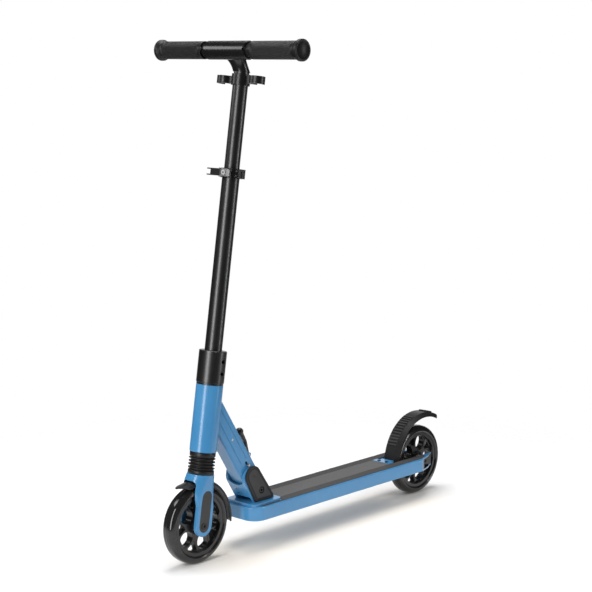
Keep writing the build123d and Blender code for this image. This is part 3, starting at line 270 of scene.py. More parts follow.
def grained(name, tones, rough, grain, strength, distance, spread=0.08, dust=0.1, coarse=0.4):
    """A finish whose bump is the fine grain."""
    material, tree, shader, where = new_finish(name, *tones, rough, spread, dust)
    skin = place_group(tree, GRAIN, {"Vector": where, "Scale": grain, "Coarse": coarse})
    bump(tree, shader, skin["Height"], strength, distance)
    return material, tree, shader, where


def painted(shader):
    """The socket that colours a finish so far."""
    return shader.inputs["Base Color"].links[0].from_socket


def paint_over(tree, shader, mask, tint):
    """Lays a plain colour over a finish where the mask is 1."""
    join(tree, mix_colour(tree, mask, painted(shader), tint), shader.inputs["Base Color"])


print("finishes build on", TONE.name, "and", DUST.name)

# %% [markdown]
# ### Blue paint
# Fork, head tube, neck, hinge bracket and deck are aluminium under a glossy blue coat. A plain blue with a
# low roughness would come close, but sprayed paint has a soft, wavy skin under a smoother top, so a coarse
# grain bends the base and a clear coat lies over it. The deck's rails are open at the tail. The deck is one
# solid with one material, so a mask in object coordinates darkens that hollow with painted shade.

# %% Blue paint
RAIL_END = -224.5
HOLLOW_SIDE = 46.2
HOLLOW_HEIGHT = 72.35
HOLLOW_HALF = 11.15


def make_blue_paint(name):
    tones = colour(0.044, 0.205, 0.415), colour(0.054, 0.228, 0.450)
    skin = {"grain": 420.0, "strength": 0.06, "distance": 0.0002, "coarse": 0.8}
    finish = grained(name, tones, rough=0.30, spread=0.05, dust=0.06, **skin)
    shader = finish[2]
    shader.inputs["Specular IOR Level"].default_value = 0.3
    shader.inputs["Coat Weight"].default_value = 0.5
    shader.inputs["Coat Roughness"].default_value = 0.16
    return finish


def within(tree, value, middle, half):
    """1 where a value lies less than half a width from its middle, else 0."""
    off = maths(tree, "ABSOLUTE", maths(tree, "SUBTRACT", value, middle))
    return maths(tree, "LESS_THAN", off, half)


def make_deck_paint():
    """The same paint, with painted shade darkening the hollow inside of the rails' open tail ends."""
    material, tree, shader, where = make_blue_paint("deck_paint")
    place = split(tree, where)
    tail = maths(tree, "LESS_THAN", place["X"], RAIL_END * MM)
    inner = within(tree, place["Y"], 0.0, HOLLOW_SIDE * MM)
    between = within(tree, place["Z"], HOLLOW_HEIGHT * MM, HOLLOW_HALF * MM)
    hollow = maths(tree, "MULTIPLY", maths(tree, "MULTIPLY", tail, inner), between)
    # Painted shade: the hollow tail ends of the rails are coloured near black.
    paint_over(tree, shader, hollow, colour(0.006, 0.007, 0.009))
    return material


FINISH["blue"] = make_blue_paint("blue_paint")[0]
FINISH["deck"] = make_deck_paint()
print("paints", FINISH["blue"].name, FINISH["deck"].name)

# %% [markdown]
# ### Black tube and casting
# The column is drawn aluminium tube, anodised black. The T at its top and the height clamp are smooth black
# castings. Both could share one black, but a drawn tube spreads its highlight along fine lines, while a
# casting has an even grain.

# %% Black tube and casting
def make_black_tube():
    tones = colour(0.0055, 0.0055, 0.006), colour(0.008, 0.008, 0.0085)
    material, tree, shader, where = new_finish("black_tube", *tones, rough=0.34, spread=0.05, dust=0.0)
    lines = place_group(tree, DRAWN, {"Vector": where})
    bump(tree, shader, lines["Height"], strength=0.02, distance=0.0001)
    shader.inputs["Specular IOR Level"].default_value = 0.8
    return material


def make_black_casting():
    tones = colour(0.006, 0.006, 0.0065), colour(0.009, 0.009, 0.0095)
    return grained("black_casting", tones, rough=0.25, grain=1500.0, strength=0.03, distance=0.0002)[0]


FINISH["tube"] = make_black_tube()
FINISH["casting"] = make_black_casting()
print("black metals", FINISH["tube"].name, FINISH["casting"].name)

# %% [markdown]
# ### Moulded plastics
# Mudguard, levers, clip, wheel hubs and the panels of the fork are moulded plastic. Each could have its own
# material, but one recipe is enough: a black with a pebbled skin, made shinier for the hubs and paler and
# duller for the panels.

# %% Moulded plastics
def make_plastic(name, shade, rough, strength=0.18):
    tones = colour(shade, shade, shade * 1.04), colour(shade * 1.35, shade * 1.33, shade * 1.36)
    return grained(name, tones, rough, grain=1100.0, strength=strength, distance=0.0003, dust=0.05)


FINISH["plastic"] = make_plastic("black_plastic", shade=0.006, rough=0.33)[0]
FINISH["hub"] = make_plastic("hub_plastic", shade=0.006, rough=0.24, strength=0.07)[0]
FINISH["grey"] = make_plastic("grey_plastic", shade=0.015, rough=0.50)[0]
print("plastics", [FINISH[key].name for key in ("plastic", "hub", "grey")])

# %% [markdown]
# ### Rear guard
# The rider brakes by treading on the rear guard. The ribs are in the solid, and a highlight is painted on
# their tops and shade in the gaps between them. Two materials on chosen faces could tell tops from gaps,
# but the solid's mesh stays as it is, so the distance from the centre of the guard's arc does it.

# %% Rear guard
GUARD_CENTRE = (-331.5 * MM, 0.0, 76.2 * MM)
RIB_MIDDLE = math.radians(47.5)
RIB_SPREAD = math.radians(24.5)
RIB_HALF = 12.3 * MM
RIB_FOOT = 96.3 * MM
RIB_TOP = 96.9 * MM
RIB_GAP_SHADE = grey(0.0015)
RIB_TOP_HIGHLIGHT = grey(0.030)
SIDE_VIEW = (1.0, 0.0, 1.0)


def make_guard_plastic():
    """Black plastic with a painted highlight on the tops of its ribs and painted shade in the gaps between
    them.
    """
    material, tree, shader, where = make_plastic("guard_plastic", shade=0.010, rough=0.42)
    away = vectors(tree, "SUBTRACT", where, GUARD_CENTRE)
    place = split(tree, away)
    among = within(tree, maths(tree, "ARCTAN2", place["Z"], place["X"]), RIB_MIDDLE, RIB_SPREAD)
    field = maths(tree, "MULTIPLY", among, within(tree, place["Y"], 0.0, RIB_HALF))
    reach = vectors(tree, "LENGTH", vectors(tree, "MULTIPLY", away, SIDE_VIEW))
    lit_rib_tops = maths(tree, "MULTIPLY", field, map_range(tree, reach, RIB_FOOT, RIB_TOP))
    # Painted shade in the gaps between the ribs, then a painted highlight on their tops.
    paint_over(tree, shader, field, RIB_GAP_SHADE)
    paint_over(tree, shader, lit_rib_tops, RIB_TOP_HIGHLIGHT)
    return material


FINISH["guard"] = make_guard_plastic()
print("guard nodes", len(FINISH["guard"].node_tree.nodes))

# %% [markdown]
# ### Hinge covers
# A grey plate with one round end covers each side of the fold. A groove follows its outline and sets off
# the middle. It could be cut into a new mesh, but it is so fine that painted shade, a dark line, will do.
# The outline is a band stretched round three circles. Any such band is the inside of all its tangent lines,
# so the largest distance past one of them tells how deep inside a point lies, and the groove is one depth.

# %% Hinge covers
COVER_ROUNDS = ((144.0, 95.4, 5.0), (184.3, 95.4, 5.0), (193.0, 142.0, 19.0))
COVER_FAN = 15
COVER_RIM = 5.2 * MM
GROOVE_CORE = 0.5 * MM
GROOVE_EDGE = 1.1 * MM
RIM_TINT = grey(0.021)
GROOVE_SHADE = grey(0.002)
ONE_IN_Y = (0.0, 1.0, 0.0)


def cover_sides():
    """Outward directions of the outline, in X and Z: its straight sides, and a fan for its round ends."""
    turns = [math.radians(turn) for turn in range(0, 360, COVER_FAN)]
    sides = [(math.cos(turn), math.sin(turn)) for turn in turns]
    for here, after in zip(COVER_ROUNDS, COVER_ROUNDS[1:] + COVER_ROUNDS[:1]):
        length = math.hypot(after[0] - here[0], after[1] - here[1])
        along = ((after[0] - here[0]) / length, (after[1] - here[1]) / length)
        tilt = (here[2] - after[2]) / length
        out = math.sqrt(1.0 - tilt * tilt)
        sides.append((tilt * along[0] + out * along[1], tilt * along[1] - out * along[0]))
    return sides


def make_cover_plastic():
    """Grey plastic with painted groove shade, a dark line along the outline, and a slightly darker rim
    outside it.
    """
    material, tree, shader, where = make_plastic("cover_plastic", shade=0.034, rough=0.50)
    shader.inputs["Specular IOR Level"].default_value = 0.2
    flat = vectors(tree, "ADD", vectors(tree, "MULTIPLY", where, SIDE_VIEW), ONE_IN_Y)
    beyond = None
    for across, up in cover_sides():
        reach = max(across * x + up * z + radius for x, z, radius in COVER_ROUNDS)
        past = vectors(tree, "DOT_PRODUCT", flat, (across, -reach * MM, up))
        beyond = past if beyond is None else maths(tree, "MAXIMUM", beyond, past)
    rim = maths(tree, "GREATER_THAN", beyond, -COVER_RIM)
    off_groove = maths(tree, "ABSOLUTE", maths(tree, "ADD", beyond, COVER_RIM))
    groove = map_range(tree, off_groove, GROOVE_CORE, GROOVE_EDGE, 1.0, 0.0)
    paint_over(tree, shader, rim, RIM_TINT)
    # Painted shade: the groove along the outline is drawn as a near-black line.
    paint_over(tree, shader, groove, GROOVE_SHADE)
    return material


FINISH["cover"] = make_cover_plastic()
print("cover sides", len(cover_sides()))

# %% [markdown]
# ### Rubbers
# Grips and boot are matt rubber with a sandy grain. The tyres are cast polyurethane: the mould polishes the
# tread and leaves the side walls satin. Two slots on the tyre could hold that, but a roughness that changes
# across the tyre's width keeps the border soft.

# %% Rubbers
TREAD_EDGE = 10.0 * MM
WALL_START = 14.6 * MM
TREAD_ROUGH = 0.07
WALL_ROUGH = 0.20


def make_rubber(name, shade, rough, grain=1400.0, strength=0.25):
    tones = grey(shade), colour(shade * 1.4, shade * 1.38, shade * 1.36)
    finish = grained(name, tones, rough, grain, strength, distance=0.0003, spread=0.12, dust=0.03)
    finish[2].inputs["Specular IOR Level"].default_value = 0.35
    return finish[0]


def make_tyre():
    """Cast polyurethane: the tread is polished by its mould, the side walls are satin."""
    tones = colour(0.009, 0.009, 0.0095), colour(0.013, 0.0125, 0.0125)
    skin = {"grain": 700.0, "strength": 0.04, "distance": 0.0003}
    material, tree, shader, where = grained("cast_tyre", tones, TREAD_ROUGH, dust=0.05, **skin)
    off_middle = maths(tree, "ABSOLUTE", split(tree, where)["Y"])
    rough = map_range(tree, off_middle, TREAD_EDGE, WALL_START, TREAD_ROUGH, WALL_ROUGH)
    join(tree, rough, shader.inputs["Roughness"])
    return material


FINISH["grip"] = make_rubber("grip_rubber", shade=0.006, rough=0.46)
FINISH["boot"] = make_rubber("boot_rubber", shade=0.009, rough=0.40, grain=900.0, strength=0.12)
FINISH["tyre"] = make_tyre()
print("rubbers", [FINISH[key].name for key in ("grip", "boot", "tyre")])

# %% [markdown]
# ### Steels
# Pins and bearings are bright steel, most bolts are blackened, and the nut block of the height clamp is
# satin alloy with a polished bolt in it. The pivot bolt has a black rim round a lighter flat. The socket in
# each bolt's middle is painted shade, a near-black disc. Separate meshes could carry those rings, but each
# bolt is part of a solid, so the distance from the bolt's axis draws them.

# %% Steels
BRIGHT = 0.50
BLACKENED = 0.045
SATIN = 0.38
NUT_SHADE = 0.36
NUT_ROUGH = 0.46
NUT_SIDE = 9.0
NUT_HEIGHT = 641.0
# The innermost ring of each list is the bolt's socket, painted near black as painted shade.
NUT_RINGS = ((4.7, 0.82), (1.7, 0.02))
PIVOT = Vector((172.0, 0.0, 111.5)) * MM
PIVOT_AXIS = (0.0, 1.0, 0.0)
PIVOT_RINGS = ((6.6, 0.004), (4.4, 0.065), (2.4, 0.004))


def make_steel(name, shade, rough, centre=None, axis=None, rings=()):
    """Metal with a fine grain. Rings of radius and shade colour a bolt's head, from its rim to its socket."""
    tones = grey(shade), colour(shade * 0.86, shade * 0.87, shade * 0.89)
    skin = {"grain": 2200.0, "strength": 0.06, "distance": 0.0001}
    material, tree, shader, where = grained(name, tones, rough, dust=0.05, **skin)
    shader.inputs["Metallic"].default_value = 1.0
    if rings:
        away = vectors(tree, "SUBTRACT", where, tuple(centre))
        reach = vectors(tree, "LENGTH", vectors(tree, "CROSS_PRODUCT", away, tuple(axis)))
        # The innermost ring, the socket, is painted shade.
        for radius, tint in rings:
            paint_over(tree, shader, maths(tree, "LESS_THAN", reach, radius * MM), grey(tint))
    return material


FINISH["steel"] = make_steel("bright_steel", BRIGHT, SATIN)
FINISH["dark_steel"] = make_steel("dark_steel", BLACKENED, SATIN)
nut_centre = steer_point(0, NUT_SIDE, NUT_HEIGHT)
FINISH["satin"] = make_steel("satin_alloy", NUT_SHADE, NUT_ROUGH, nut_centre, STEER_FORWARD, NUT_RINGS)
FINISH["pivot"] = make_steel("pivot_steel", BLACKENED, SATIN, PIVOT, PIVOT_AXIS, PIVOT_RINGS)
print("steels", [FINISH[key].name for key in ("steel", "dark_steel", "satin", "pivot")])

# %% [markdown]
# ### Anti-slip strip
# The foot plate is covered with grit bound in resin, lighter in the middle strip, where feet wear it, and
# darker in the two side strips. A noise would look like paint. Voronoi cells have hard edges, as grains
# have, so they drive both the bump and a sparkle in the colour.

# %% Anti-slip strip
STRIP_SEAM = (22.8 * MM, 24.2 * MM)
FOOT_TINT = colour(0.096, 0.095, 0.097)
SIDE_TINT = colour(0.043, 0.042, 0.042)
GRAIN_CORE = (0.0, 0.5)
SPARKLE = (0.75, 1.15)


def make_grip_strip():
    """Sharp grains, with a lighter foot-worn middle and darker side strips."""
    material, tree, shader, where = new_finish(
        "anti_slip", FOOT_TINT, FOOT_TINT, rough=0.78, spread=0.1, dust=0.0
    )
    grains = add(tree, "ShaderNodeTexVoronoi", {"Vector": where, "Scale": 1400.0}).outputs["Distance"]
    off_middle = maths(tree, "ABSOLUTE", split(tree, where)["Y"])
    paint_over(tree, shader, map_range(tree, off_middle, *STRIP_SEAM), SIDE_TINT)
    sparkle = map_range(tree, grains, *GRAIN_CORE, *SPARKLE)
    lit = add(tree, "ShaderNodeVectorMath", {0: painted(shader), "Scale": sparkle}, operation="SCALE")
    join(tree, lit.outputs["Vector"], shader.inputs["Base Color"])
    bump(tree, shader, grains, strength=0.6, distance=0.0004)
    return material


FINISH["strip"] = make_grip_strip()
print("finishes", sorted(FINISH))

# %% [markdown]
# ### Who wears what
# Each solid gets one finish. Materials could be set by hand in the viewport, but a table by finish can be
# read like a parts list, and the count at its end shows when a solid is missing.

# %% Give each node its finish
NODE_FINISH = {
    "blue": "fork head_tube neck hinge_bracket brake_bracket bracket_screws",
    "deck": "deck",
    "tube": "lower_tube upper_tube column_collar headset_cap handle_tube_left handle_tube_right",
    "casting": "t_bar qr_clamp",
    "plastic": "front_mudguard bar_clip release_lever qr_lever",
    "hub": "front_hub rear_hub",
    "grey": "fork_inlays",
    "cover": "hinge_cover_left hinge_cover_right",
    "guard": "brake_guard",
    "grip": "grip_left grip_right grip_end_left grip_end_right",
    "boot": "boot",
    "tyre": "front_tyre rear_tyre",
    "steel": "front_bearings rear_bearings front_bearing_spacer rear_bearing_spacer front_axle_spacers "
    "rear_axle_spacers headset_bearings lower_race key_pin suspension_spring qr_screws qr_lever_pin "
    "neck_pin release_pin latch_pin brake_pin stanchion spring_stop",
    "dark_steel": "front_axle front_axle_nut rear_axle rear_axle_nut mudguard_screw collar_bolts "
    "brake_screws",
    "pivot": "pivot_bolt",
    "satin": "qr_block",
    "strip": "grip_tape",
}
for finish, names in NODE_FINISH.items():
    for name in names.split():
        mesh = nodes[name].data
        mesh.materials.clear()
        mesh.materials.append(FINISH[finish])
finished = sum(len(names.split()) for names in NODE_FINISH.values())
print("finished nodes", finished, "of", len(nodes))

# %% [markdown]
# ## Turned pieces
# The tyres, the rubber boot and the grips are round, and their solids only carry the main outline. A curve
# with a Screw modifier could turn them, but a written outline is easier to read and to change: pairs of
# radius and height in millimetres, each turned into a ring of vertices. Bends get a few extra points, so
# smooth shading keeps the edges crisp where two surfaces meet.

# %% Lathe helpers
SEAM = 1e-7
POINT_RADIUS = 0.01


def arc(radius, height, reach, start, end, steps):
    """Outline points on an arc round (radius, height), from one angle to another in degrees."""
    turns = [math.radians(start + (end - start) * index / steps) for index in range(steps + 1)]
    return [(radius + reach * math.cos(turn), height + reach * math.sin(turn)) for turn in turns]


def lathe(outline, segments, lift=None):
    """A closed outline turned round Z. A lift gives each (height, turn) an extra height."""
    form = bmesh.new()
    rings = []
    for radius, height in outline:
        count = segments if radius > POINT_RADIUS else 1
        ring = []
        for index in range(count):
            turn = 2 * math.pi * index / segments
            rise = lift(height, turn) if lift else 0.0
            place = (radius * math.cos(turn), radius * math.sin(turn), height + rise)
            ring.append(form.verts.new(Vector(place) * MM))
        rings.append(ring)
    for ring, after in zip(rings, rings[1:] + rings[:1]):
        for index in range(segments):
            last = (index + 1) % segments
            corners = [ring[index % len(ring)], ring[last % len(ring)]]
            corners += [after[last % len(after)], after[index % len(after)]]
            corners = list(dict.fromkeys(corners))
            if len(corners) > 2:
                form.faces.new(corners)
    return form


def close_seams(form):
    """Merges doubled vertices and turns all faces outwards."""
    bmesh.ops.remove_doubles(form, verts=form.verts, dist=SEAM)
    bmesh.ops.recalc_face_normals(form, faces=form.faces)


def to_mesh(form, name, place):
    """Puts a form in its place, closes its seams and makes it a smooth mesh."""
    form.transform(place)
    close_seams(form)
    mesh = bpy.data.meshes.new(name)
    form.to_mesh(mesh)
    form.free()
    mesh.shade_smooth()
    return mesh


def put(name, data):
    """A new object in the scene, at the origin."""
    thing = bpy.data.objects.new(name, data)
    bpy.context.scene.collection.objects.link(thing)
    return thing


def show(name, mesh, finish):
    """Puts a piece in the scene, with a finish if it has none yet."""
    if not mesh.materials:
        mesh.materials.append(FINISH[finish])
    return put(name, mesh)


print("lathe ready, seams closed within", SEAM, "m")

# %% [markdown]
# ### Tyres
# Each wheel carries a cast polyurethane tyre: a round, polished tread with a fine line where the mould
# halves met, and a satin side wall with a shallow step just above the rim. A bump could suggest the step
# and the line, but they catch the light on the turning edge, so they are cut into the outline.

# %% Tyres
TYRE_HALF = 15.0
TYRE_SHOULDER = 11.0
MOULD_LINE = 0.22
RIM_SEAT = 58.0
RIM_HALF = 12.0


def tyre_half_outline():
    """From the middle of the tread down one side to the rim, as (radius, height)."""
    tread = WHEEL_RADIUS - MOULD_LINE
    crown = [(WHEEL_RADIUS, 0.0), (WHEEL_RADIUS, 0.30), (tread, 0.55), (tread, 2.0)]
    centre = WHEEL_RADIUS - TYRE_SHOULDER
    shoulder = []
    for turn in [math.radians(angle) for angle in range(6, 91, 6)]:
        radius = centre + (TYRE_SHOULDER - MOULD_LINE) * math.cos(turn)
        shoulder.append((radius, TYRE_HALF - TYRE_SHOULDER + TYRE_SHOULDER * math.sin(turn)))
    wall = [(centre - 0.4, TYRE_HALF), (centre - 0.9, TYRE_HALF - 0.55), (centre - 1.5, TYRE_HALF - 0.60)]
    lip = [(RIM_SEAT + 1.6, TYRE_HALF - 1.3), (RIM_SEAT + 0.5, RIM_HALF + 1.0), (RIM_SEAT, RIM_HALF)]
    return crown + shoulder + wall + lip


def make_tyre_piece(name, axle_x, body, node):
    half = tyre_half_outline()
    outline = half + [(radius, -height) for radius, height in reversed(half[1:])]
    axle = Matrix.Translation((axle_x * MM, 0, WHEEL_RADIUS * MM))
    place = axle @ Matrix.Rotation(math.radians(-90), 4, "X")
    piece = show(name, to_mesh(lathe(outline, segments=144), name, place), "tyre")
    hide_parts(node)
    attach(piece, body)
    return piece


for name, axle_x, body, node in (
    ("front_tread", HALF_BASE, "front_wheel", "front_tyre"),
    ("rear_tread", -HALF_BASE, "rear_wheel", "rear_tyre"),
):
    made = make_tyre_piece(name, axle_x, body, node)
    print(name, len(made.data.polygons), "faces")

# %% [markdown]
# ### Boot
# A rubber bellows hides the sprung leg between the fork crown and the head tube. It has a tall collar at
# the top, a shorter one at the foot and thin round ribs between. An array of rings could stack the ribs,
# but they are one skin, so a loop adds each rib to the outline. When the fork dives, the rubber is pressed
# together. The piece rides on the fork.

# %% Boot
BOOT_FOOT = 93.1
BOOT_TOP = 133.6
BOOT_BORE = 19.5
BOOT_COLLAR = 24.2
BOOT_VALLEY = 20.6
BOOT_RIB = 23.8
BOOT_RIB_ROUND = 0.75
BOOT_RIBS = 4


def boot_outline():
    low, high = BOOT_FOOT, BOOT_TOP
    first, last = low + 8.0, high - 9.0
    outline = [(BOOT_BORE, low), (BOOT_COLLAR - 0.6, low), (BOOT_COLLAR - 0.1, low + 0.5)]
    outline += [(BOOT_COLLAR, low + 5.8), (BOOT_COLLAR - 0.4, low + 6.6), (BOOT_COLLAR - 1.8, first)]
    pitch = (last - first) / BOOT_RIBS
    flank = [(BOOT_VALLEY, 0.46), (BOOT_VALLEY + 0.3, 0.36), (BOOT_VALLEY + 1.8, 0.20)]
    for index in range(BOOT_RIBS):
        middle = first + (index + 0.5) * pitch
        outline += [(radius, middle - share * pitch) for radius, share in flank]
        outline += arc(BOOT_RIB, middle, BOOT_RIB_ROUND, -78, 78, 6)
        outline += [(radius, middle + share * pitch) for radius, share in reversed(flank)]
    outline += [(BOOT_RIB - 1.6, last + 0.3), (BOOT_RIB - 0.3, last + 1.0), (BOOT_RIB, last + 1.7)]
    return outline + [(BOOT_RIB, high - 0.6), (BOOT_RIB - 0.5, high), (BOOT_BORE, high)]


boot = show("boot_bellows", to_mesh(lathe(boot_outline(), segments=96), "boot_bellows", STEER), "boot")
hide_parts("boot")
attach(boot, "fork")
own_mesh(boot)

# %% [markdown]
# ### Grips
# Each handle carries a rubber sleeve with a plain collar at both ends, a field of small diamonds between
# them and a flared plug at the tip. The inner collar has a pointed tooth that keys into the bar. The sleeve
# is turned, and the tooth lifts the first rings of the outline. The diamonds repeat well over a thousand
# times, so Geometry Nodes set one low pyramid on every point of a staggered grid that is wrapped round the
# sleeve.

# %% Grip sleeve
BAR_REACH = 36.6
BAR_HEIGHT = 858.0
GRIP_RADIUS = 16.3
GRIP_START = 60.5
GRIP_END = 171.0
GRIP_GROOVE = 15.7
GROOVE_INSET = 8.0
PLUG_RADIUS = 19.4
PLUG_ROUND = 1.6
BAR_END = 180.0
HANDLE_RADIUS = 12.05
TOOTH_REACH = 4.0
TOOTH_HALF = 4.6


def grip_groove(station):
    """A fine groove round the sleeve and the collar after it."""
    bottom = [(GRIP_GROOVE, station - 0.45), (GRIP_GROOVE, station + 0.45)]
    after = [(GRIP_RADIUS, station + 0.7), (GRIP_RADIUS, station + 1.3)]
    return [(GRIP_RADIUS, station - 0.7)] + bottom + after


def grip_outline():
    """Inner collar, knurled field, outer collar and end plug, out along the handle and back in its bore."""
    field = GRIP_RADIUS - 0.45
    inner, outer = GRIP_START + GROOVE_INSET, GRIP_END - GROOVE_INSET
    outline = [(HANDLE_RADIUS, GRIP_START), (15.3, GRIP_START), (16.0, GRIP_START + 0.25)]
    outline += [(GRIP_RADIUS, GRIP_START + 0.9), (GRIP_RADIUS, GRIP_START + 6.4)] + grip_groove(inner)
    outline += [(field, inner + 1.6), (field, outer - 1.6), (GRIP_RADIUS, outer - 1.3)] + grip_groove(outer)
    outline += [(GRIP_RADIUS, GRIP_END - 0.9), (16.9, GRIP_END - 0.3), (19.0, GRIP_END + 1.9)]
    outline += [(PLUG_RADIUS, GRIP_END + 2.8), (PLUG_RADIUS, BAR_END - 1.7)]
    outline += arc(PLUG_RADIUS - PLUG_ROUND, BAR_END - PLUG_ROUND, PLUG_ROUND, 0, 90, 5)
    outline += [(16.4, BAR_END), (15.9, BAR_END - 0.15), (15.7, BAR_END - 0.6), (0.0, BAR_END - 0.6)]
    return outline + [(0.0, BAR_END - 2.0), (HANDLE_RADIUS, BAR_END - 2.0)]


def tooth(height, turn):
    """Lift of the inner end towards the bar, on the side that faces forward."""
    off = abs(GRIP_RADIUS * math.sin(turn))
    if height > GRIP_START + 1.0 or off > TOOTH_HALF or math.cos(turn) < 0:
        return 0.0
    return -TOOTH_REACH * (1.0 - off / TOOTH_HALF)


print("grip outline", len(grip_outline()), "points")

# %% [markdown]
# ### Repeating with Geometry Nodes
# Diamonds, ridges and turns of wire repeat one small form. Copies could be made in a Python loop, but a
# Geometry Nodes tree keeps its sizes as named inputs. A tree is run once on a carrier object, and only the
# plain mesh that comes out is kept, so no modifier is left on a finished piece.

# %% Geometry Nodes helpers
def new_tree(name, inputs, takes_mesh=True):
    """A Geometry Nodes tree with named sizes and a material. Returns it and its input sockets."""
    tree = bpy.data.node_groups.new(name, "GeometryNodeTree")
    tree.interface.new_socket("Geometry", in_out="OUTPUT", socket_type="NodeSocketGeometry")
    if takes_mesh:
        tree.interface.new_socket("Geometry", in_out="INPUT", socket_type="NodeSocketGeometry")
    add_inputs(tree, inputs)
    tree.interface.new_socket("Material", in_out="INPUT", socket_type="NodeSocketMaterial")
    return tree, tree.nodes.new("NodeGroupInput").outputs


def end_tree(tree, parts, material):
    """Joins the parts, makes their instances real and gives them the material."""
    together = tree.nodes.new("GeometryNodeJoinGeometry")
    for part in parts:
        join(tree, part, together.inputs[0])
    real = add(tree, "GeometryNodeRealizeInstances", {"Geometry": together.outputs[0]})
    dressed = add(tree, "GeometryNodeSetMaterial", {"Geometry": real.outputs[0], "Material": material})
    join(tree, dressed.outputs[0], tree.nodes.new("NodeGroupOutput").inputs[0])
    return tree


def scatter(tree, start, points, form, **turn):
    """Sets a form on every point, sized by the tree's inputs, and joins all to the mesh that comes in."""
    size = vector_of(tree, X=start["Half Length"], Y=start["Half Width"], Z=start["Height"])
    placing = {"Points": points, "Instance": form, "Scale": size, **turn}
    placed = add(tree, "GeometryNodeInstanceOnPoints", placing)
    return end_tree(tree, (start["Geometry"], placed.outputs[0]), start["Material"])


def apply_tree(name, mesh, tree, values):
    """Runs a Geometry Nodes tree on a mesh and hands back the plain mesh that it makes."""
    carrier = put(name, mesh)
    modifier = carrier.modifiers.new(tree.name, "NODES")
    modifier.node_group = tree
    labels = {item.name: item.identifier for item in tree.interface.items_tree if item.in_out == "INPUT"}
    for label, value in values.items():
        modifier[labels[label]] = value
    view = bpy.context.evaluated_depsgraph_get()
    made = bpy.data.meshes.new_from_object(carrier.evaluated_get(view), depsgraph=view)
    carrier.modifiers.remove(modifier)
    bpy.data.objects.remove(carrier)
    made.name = name
    return made


print("tree helpers ready")

# %% Diamond field
def build_diamonds():
    """Pyramids on a staggered grid wrapped round Z, joined to the sleeve that comes in."""
    sizes = {"Radius": 0.016, "Start": 0.07, "Length": 0.09, "Around": 34, "Rows": 52}
    pyramid_sizes = {"Half Width": 0.0015, "Half Length": 0.0017, "Height": 0.0004}
    tree, start = new_tree("diamond_field", {**sizes, **pyramid_sizes})
    step = maths(tree, "DIVIDE", 2 * math.pi, start["Around"])
    extent = {"Size X": maths(tree, "SUBTRACT", 2 * math.pi, step), "Size Y": start["Length"]}
    count = {"Vertices X": start["Around"], "Vertices Y": start["Rows"]}
    grid = add(tree, "GeometryNodeMeshGrid", {**extent, **count})
    spot = split(tree, tree.nodes.new("GeometryNodeInputPosition").outputs[0])
    along = maths(tree, "ADD", spot["Y"], maths(tree, "MULTIPLY", start["Length"], 0.5))
    pitch = maths(tree, "DIVIDE", start["Length"], maths(tree, "SUBTRACT", start["Rows"], 1.0))
    odd = maths(tree, "FLOORED_MODULO", maths(tree, "ROUND", maths(tree, "DIVIDE", along, pitch)), 2.0)
    turn = maths(tree, "ADD", spot["X"], maths(tree, "MULTIPLY", odd, maths(tree, "MULTIPLY", step, 0.5)))
    wrapped = vector_of(
        tree,
        X=maths(tree, "MULTIPLY", start["Radius"], maths(tree, "COSINE", turn)),
        Y=maths(tree, "MULTIPLY", start["Radius"], maths(tree, "SINE", turn)),
        Z=maths(tree, "ADD", along, start["Start"]),
    )
    rolled = {"Geometry": grid.outputs["Mesh"], "Position": wrapped}
    points = add(tree, "GeometryNodeSetPosition", rolled)
    cone = {"Vertices": 4, "Radius Top": 0.0, "Radius Bottom": 1.0, "Depth": 1.0}
    pyramid = add(tree, "GeometryNodeMeshCone", cone, fill_type="NONE")
    now = split(tree, tree.nodes.new("GeometryNodeInputPosition").outputs[0])
    outward = vector_of(tree, Y=math.pi / 2, Z=maths(tree, "ARCTAN2", now["Y"], now["X"]))
    turned = add(tree, "FunctionNodeEulerToRotation", {"Euler": outward}).outputs[0]
    return scatter(tree, start, points.outputs[0], pyramid.outputs["Mesh"], Rotation=turned)


DIAMONDS = build_diamonds()
print("diamond field nodes", len(DIAMONDS.nodes))

# %% Knurled grips
DIAMOND_ROWS = 54
DIAMOND_INSET = 10.6
DIAMOND_SUNK = 0.25


def make_grip(label, side):
    name = "knurled_grip_" + label
    upright = to_mesh(lathe(grip_outline(), segments=112, lift=tooth), name, Matrix.Identity(4))
    sizes = {
        "Radius": (GRIP_RADIUS - DIAMOND_SUNK) * MM,
        "Start": (GRIP_START + DIAMOND_INSET) * MM,
        "Length": (GRIP_END - GRIP_START - 2 * DIAMOND_INSET) * MM,
        "Rows": DIAMOND_ROWS,
        "Half Length": 1.75 * MM,
        "Half Width": 1.50 * MM,
        "Height": 0.52 * MM,
        "Material": FINISH["grip"],
    }
    mesh = apply_tree(name, upright, DIAMONDS, sizes)
    along = Matrix.Rotation(math.radians(-90 * side), 4, "X")
    mesh.transform(STEER @ Matrix.Translation((BAR_REACH * MM, 0, BAR_HEIGHT * MM)) @ along)
    mesh.update()
    piece = show(name, mesh, "grip")
    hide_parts("grip_" + label, "grip_end_" + label)
    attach(piece, "handle_" + label)
    return piece


for label, side in (("left", 1), ("right", -1)):
    made = make_grip(label, side)
    print(made.name, len(made.data.polygons), "faces")

# %% [markdown]
# ### Anti-slip strips
# Three strips of gritted sheet are stuck to the foot plate. Their outlines come from the solids: a copy of
# that mesh, with its loose triangles joined, is the base. Fine ridges run down the middle strip. An Array
# modifier could repeat one ridge, but Geometry Nodes keep the number, the spread and the section as named
# inputs.

# %% Ridges
RIDGE_CREST = 0.48


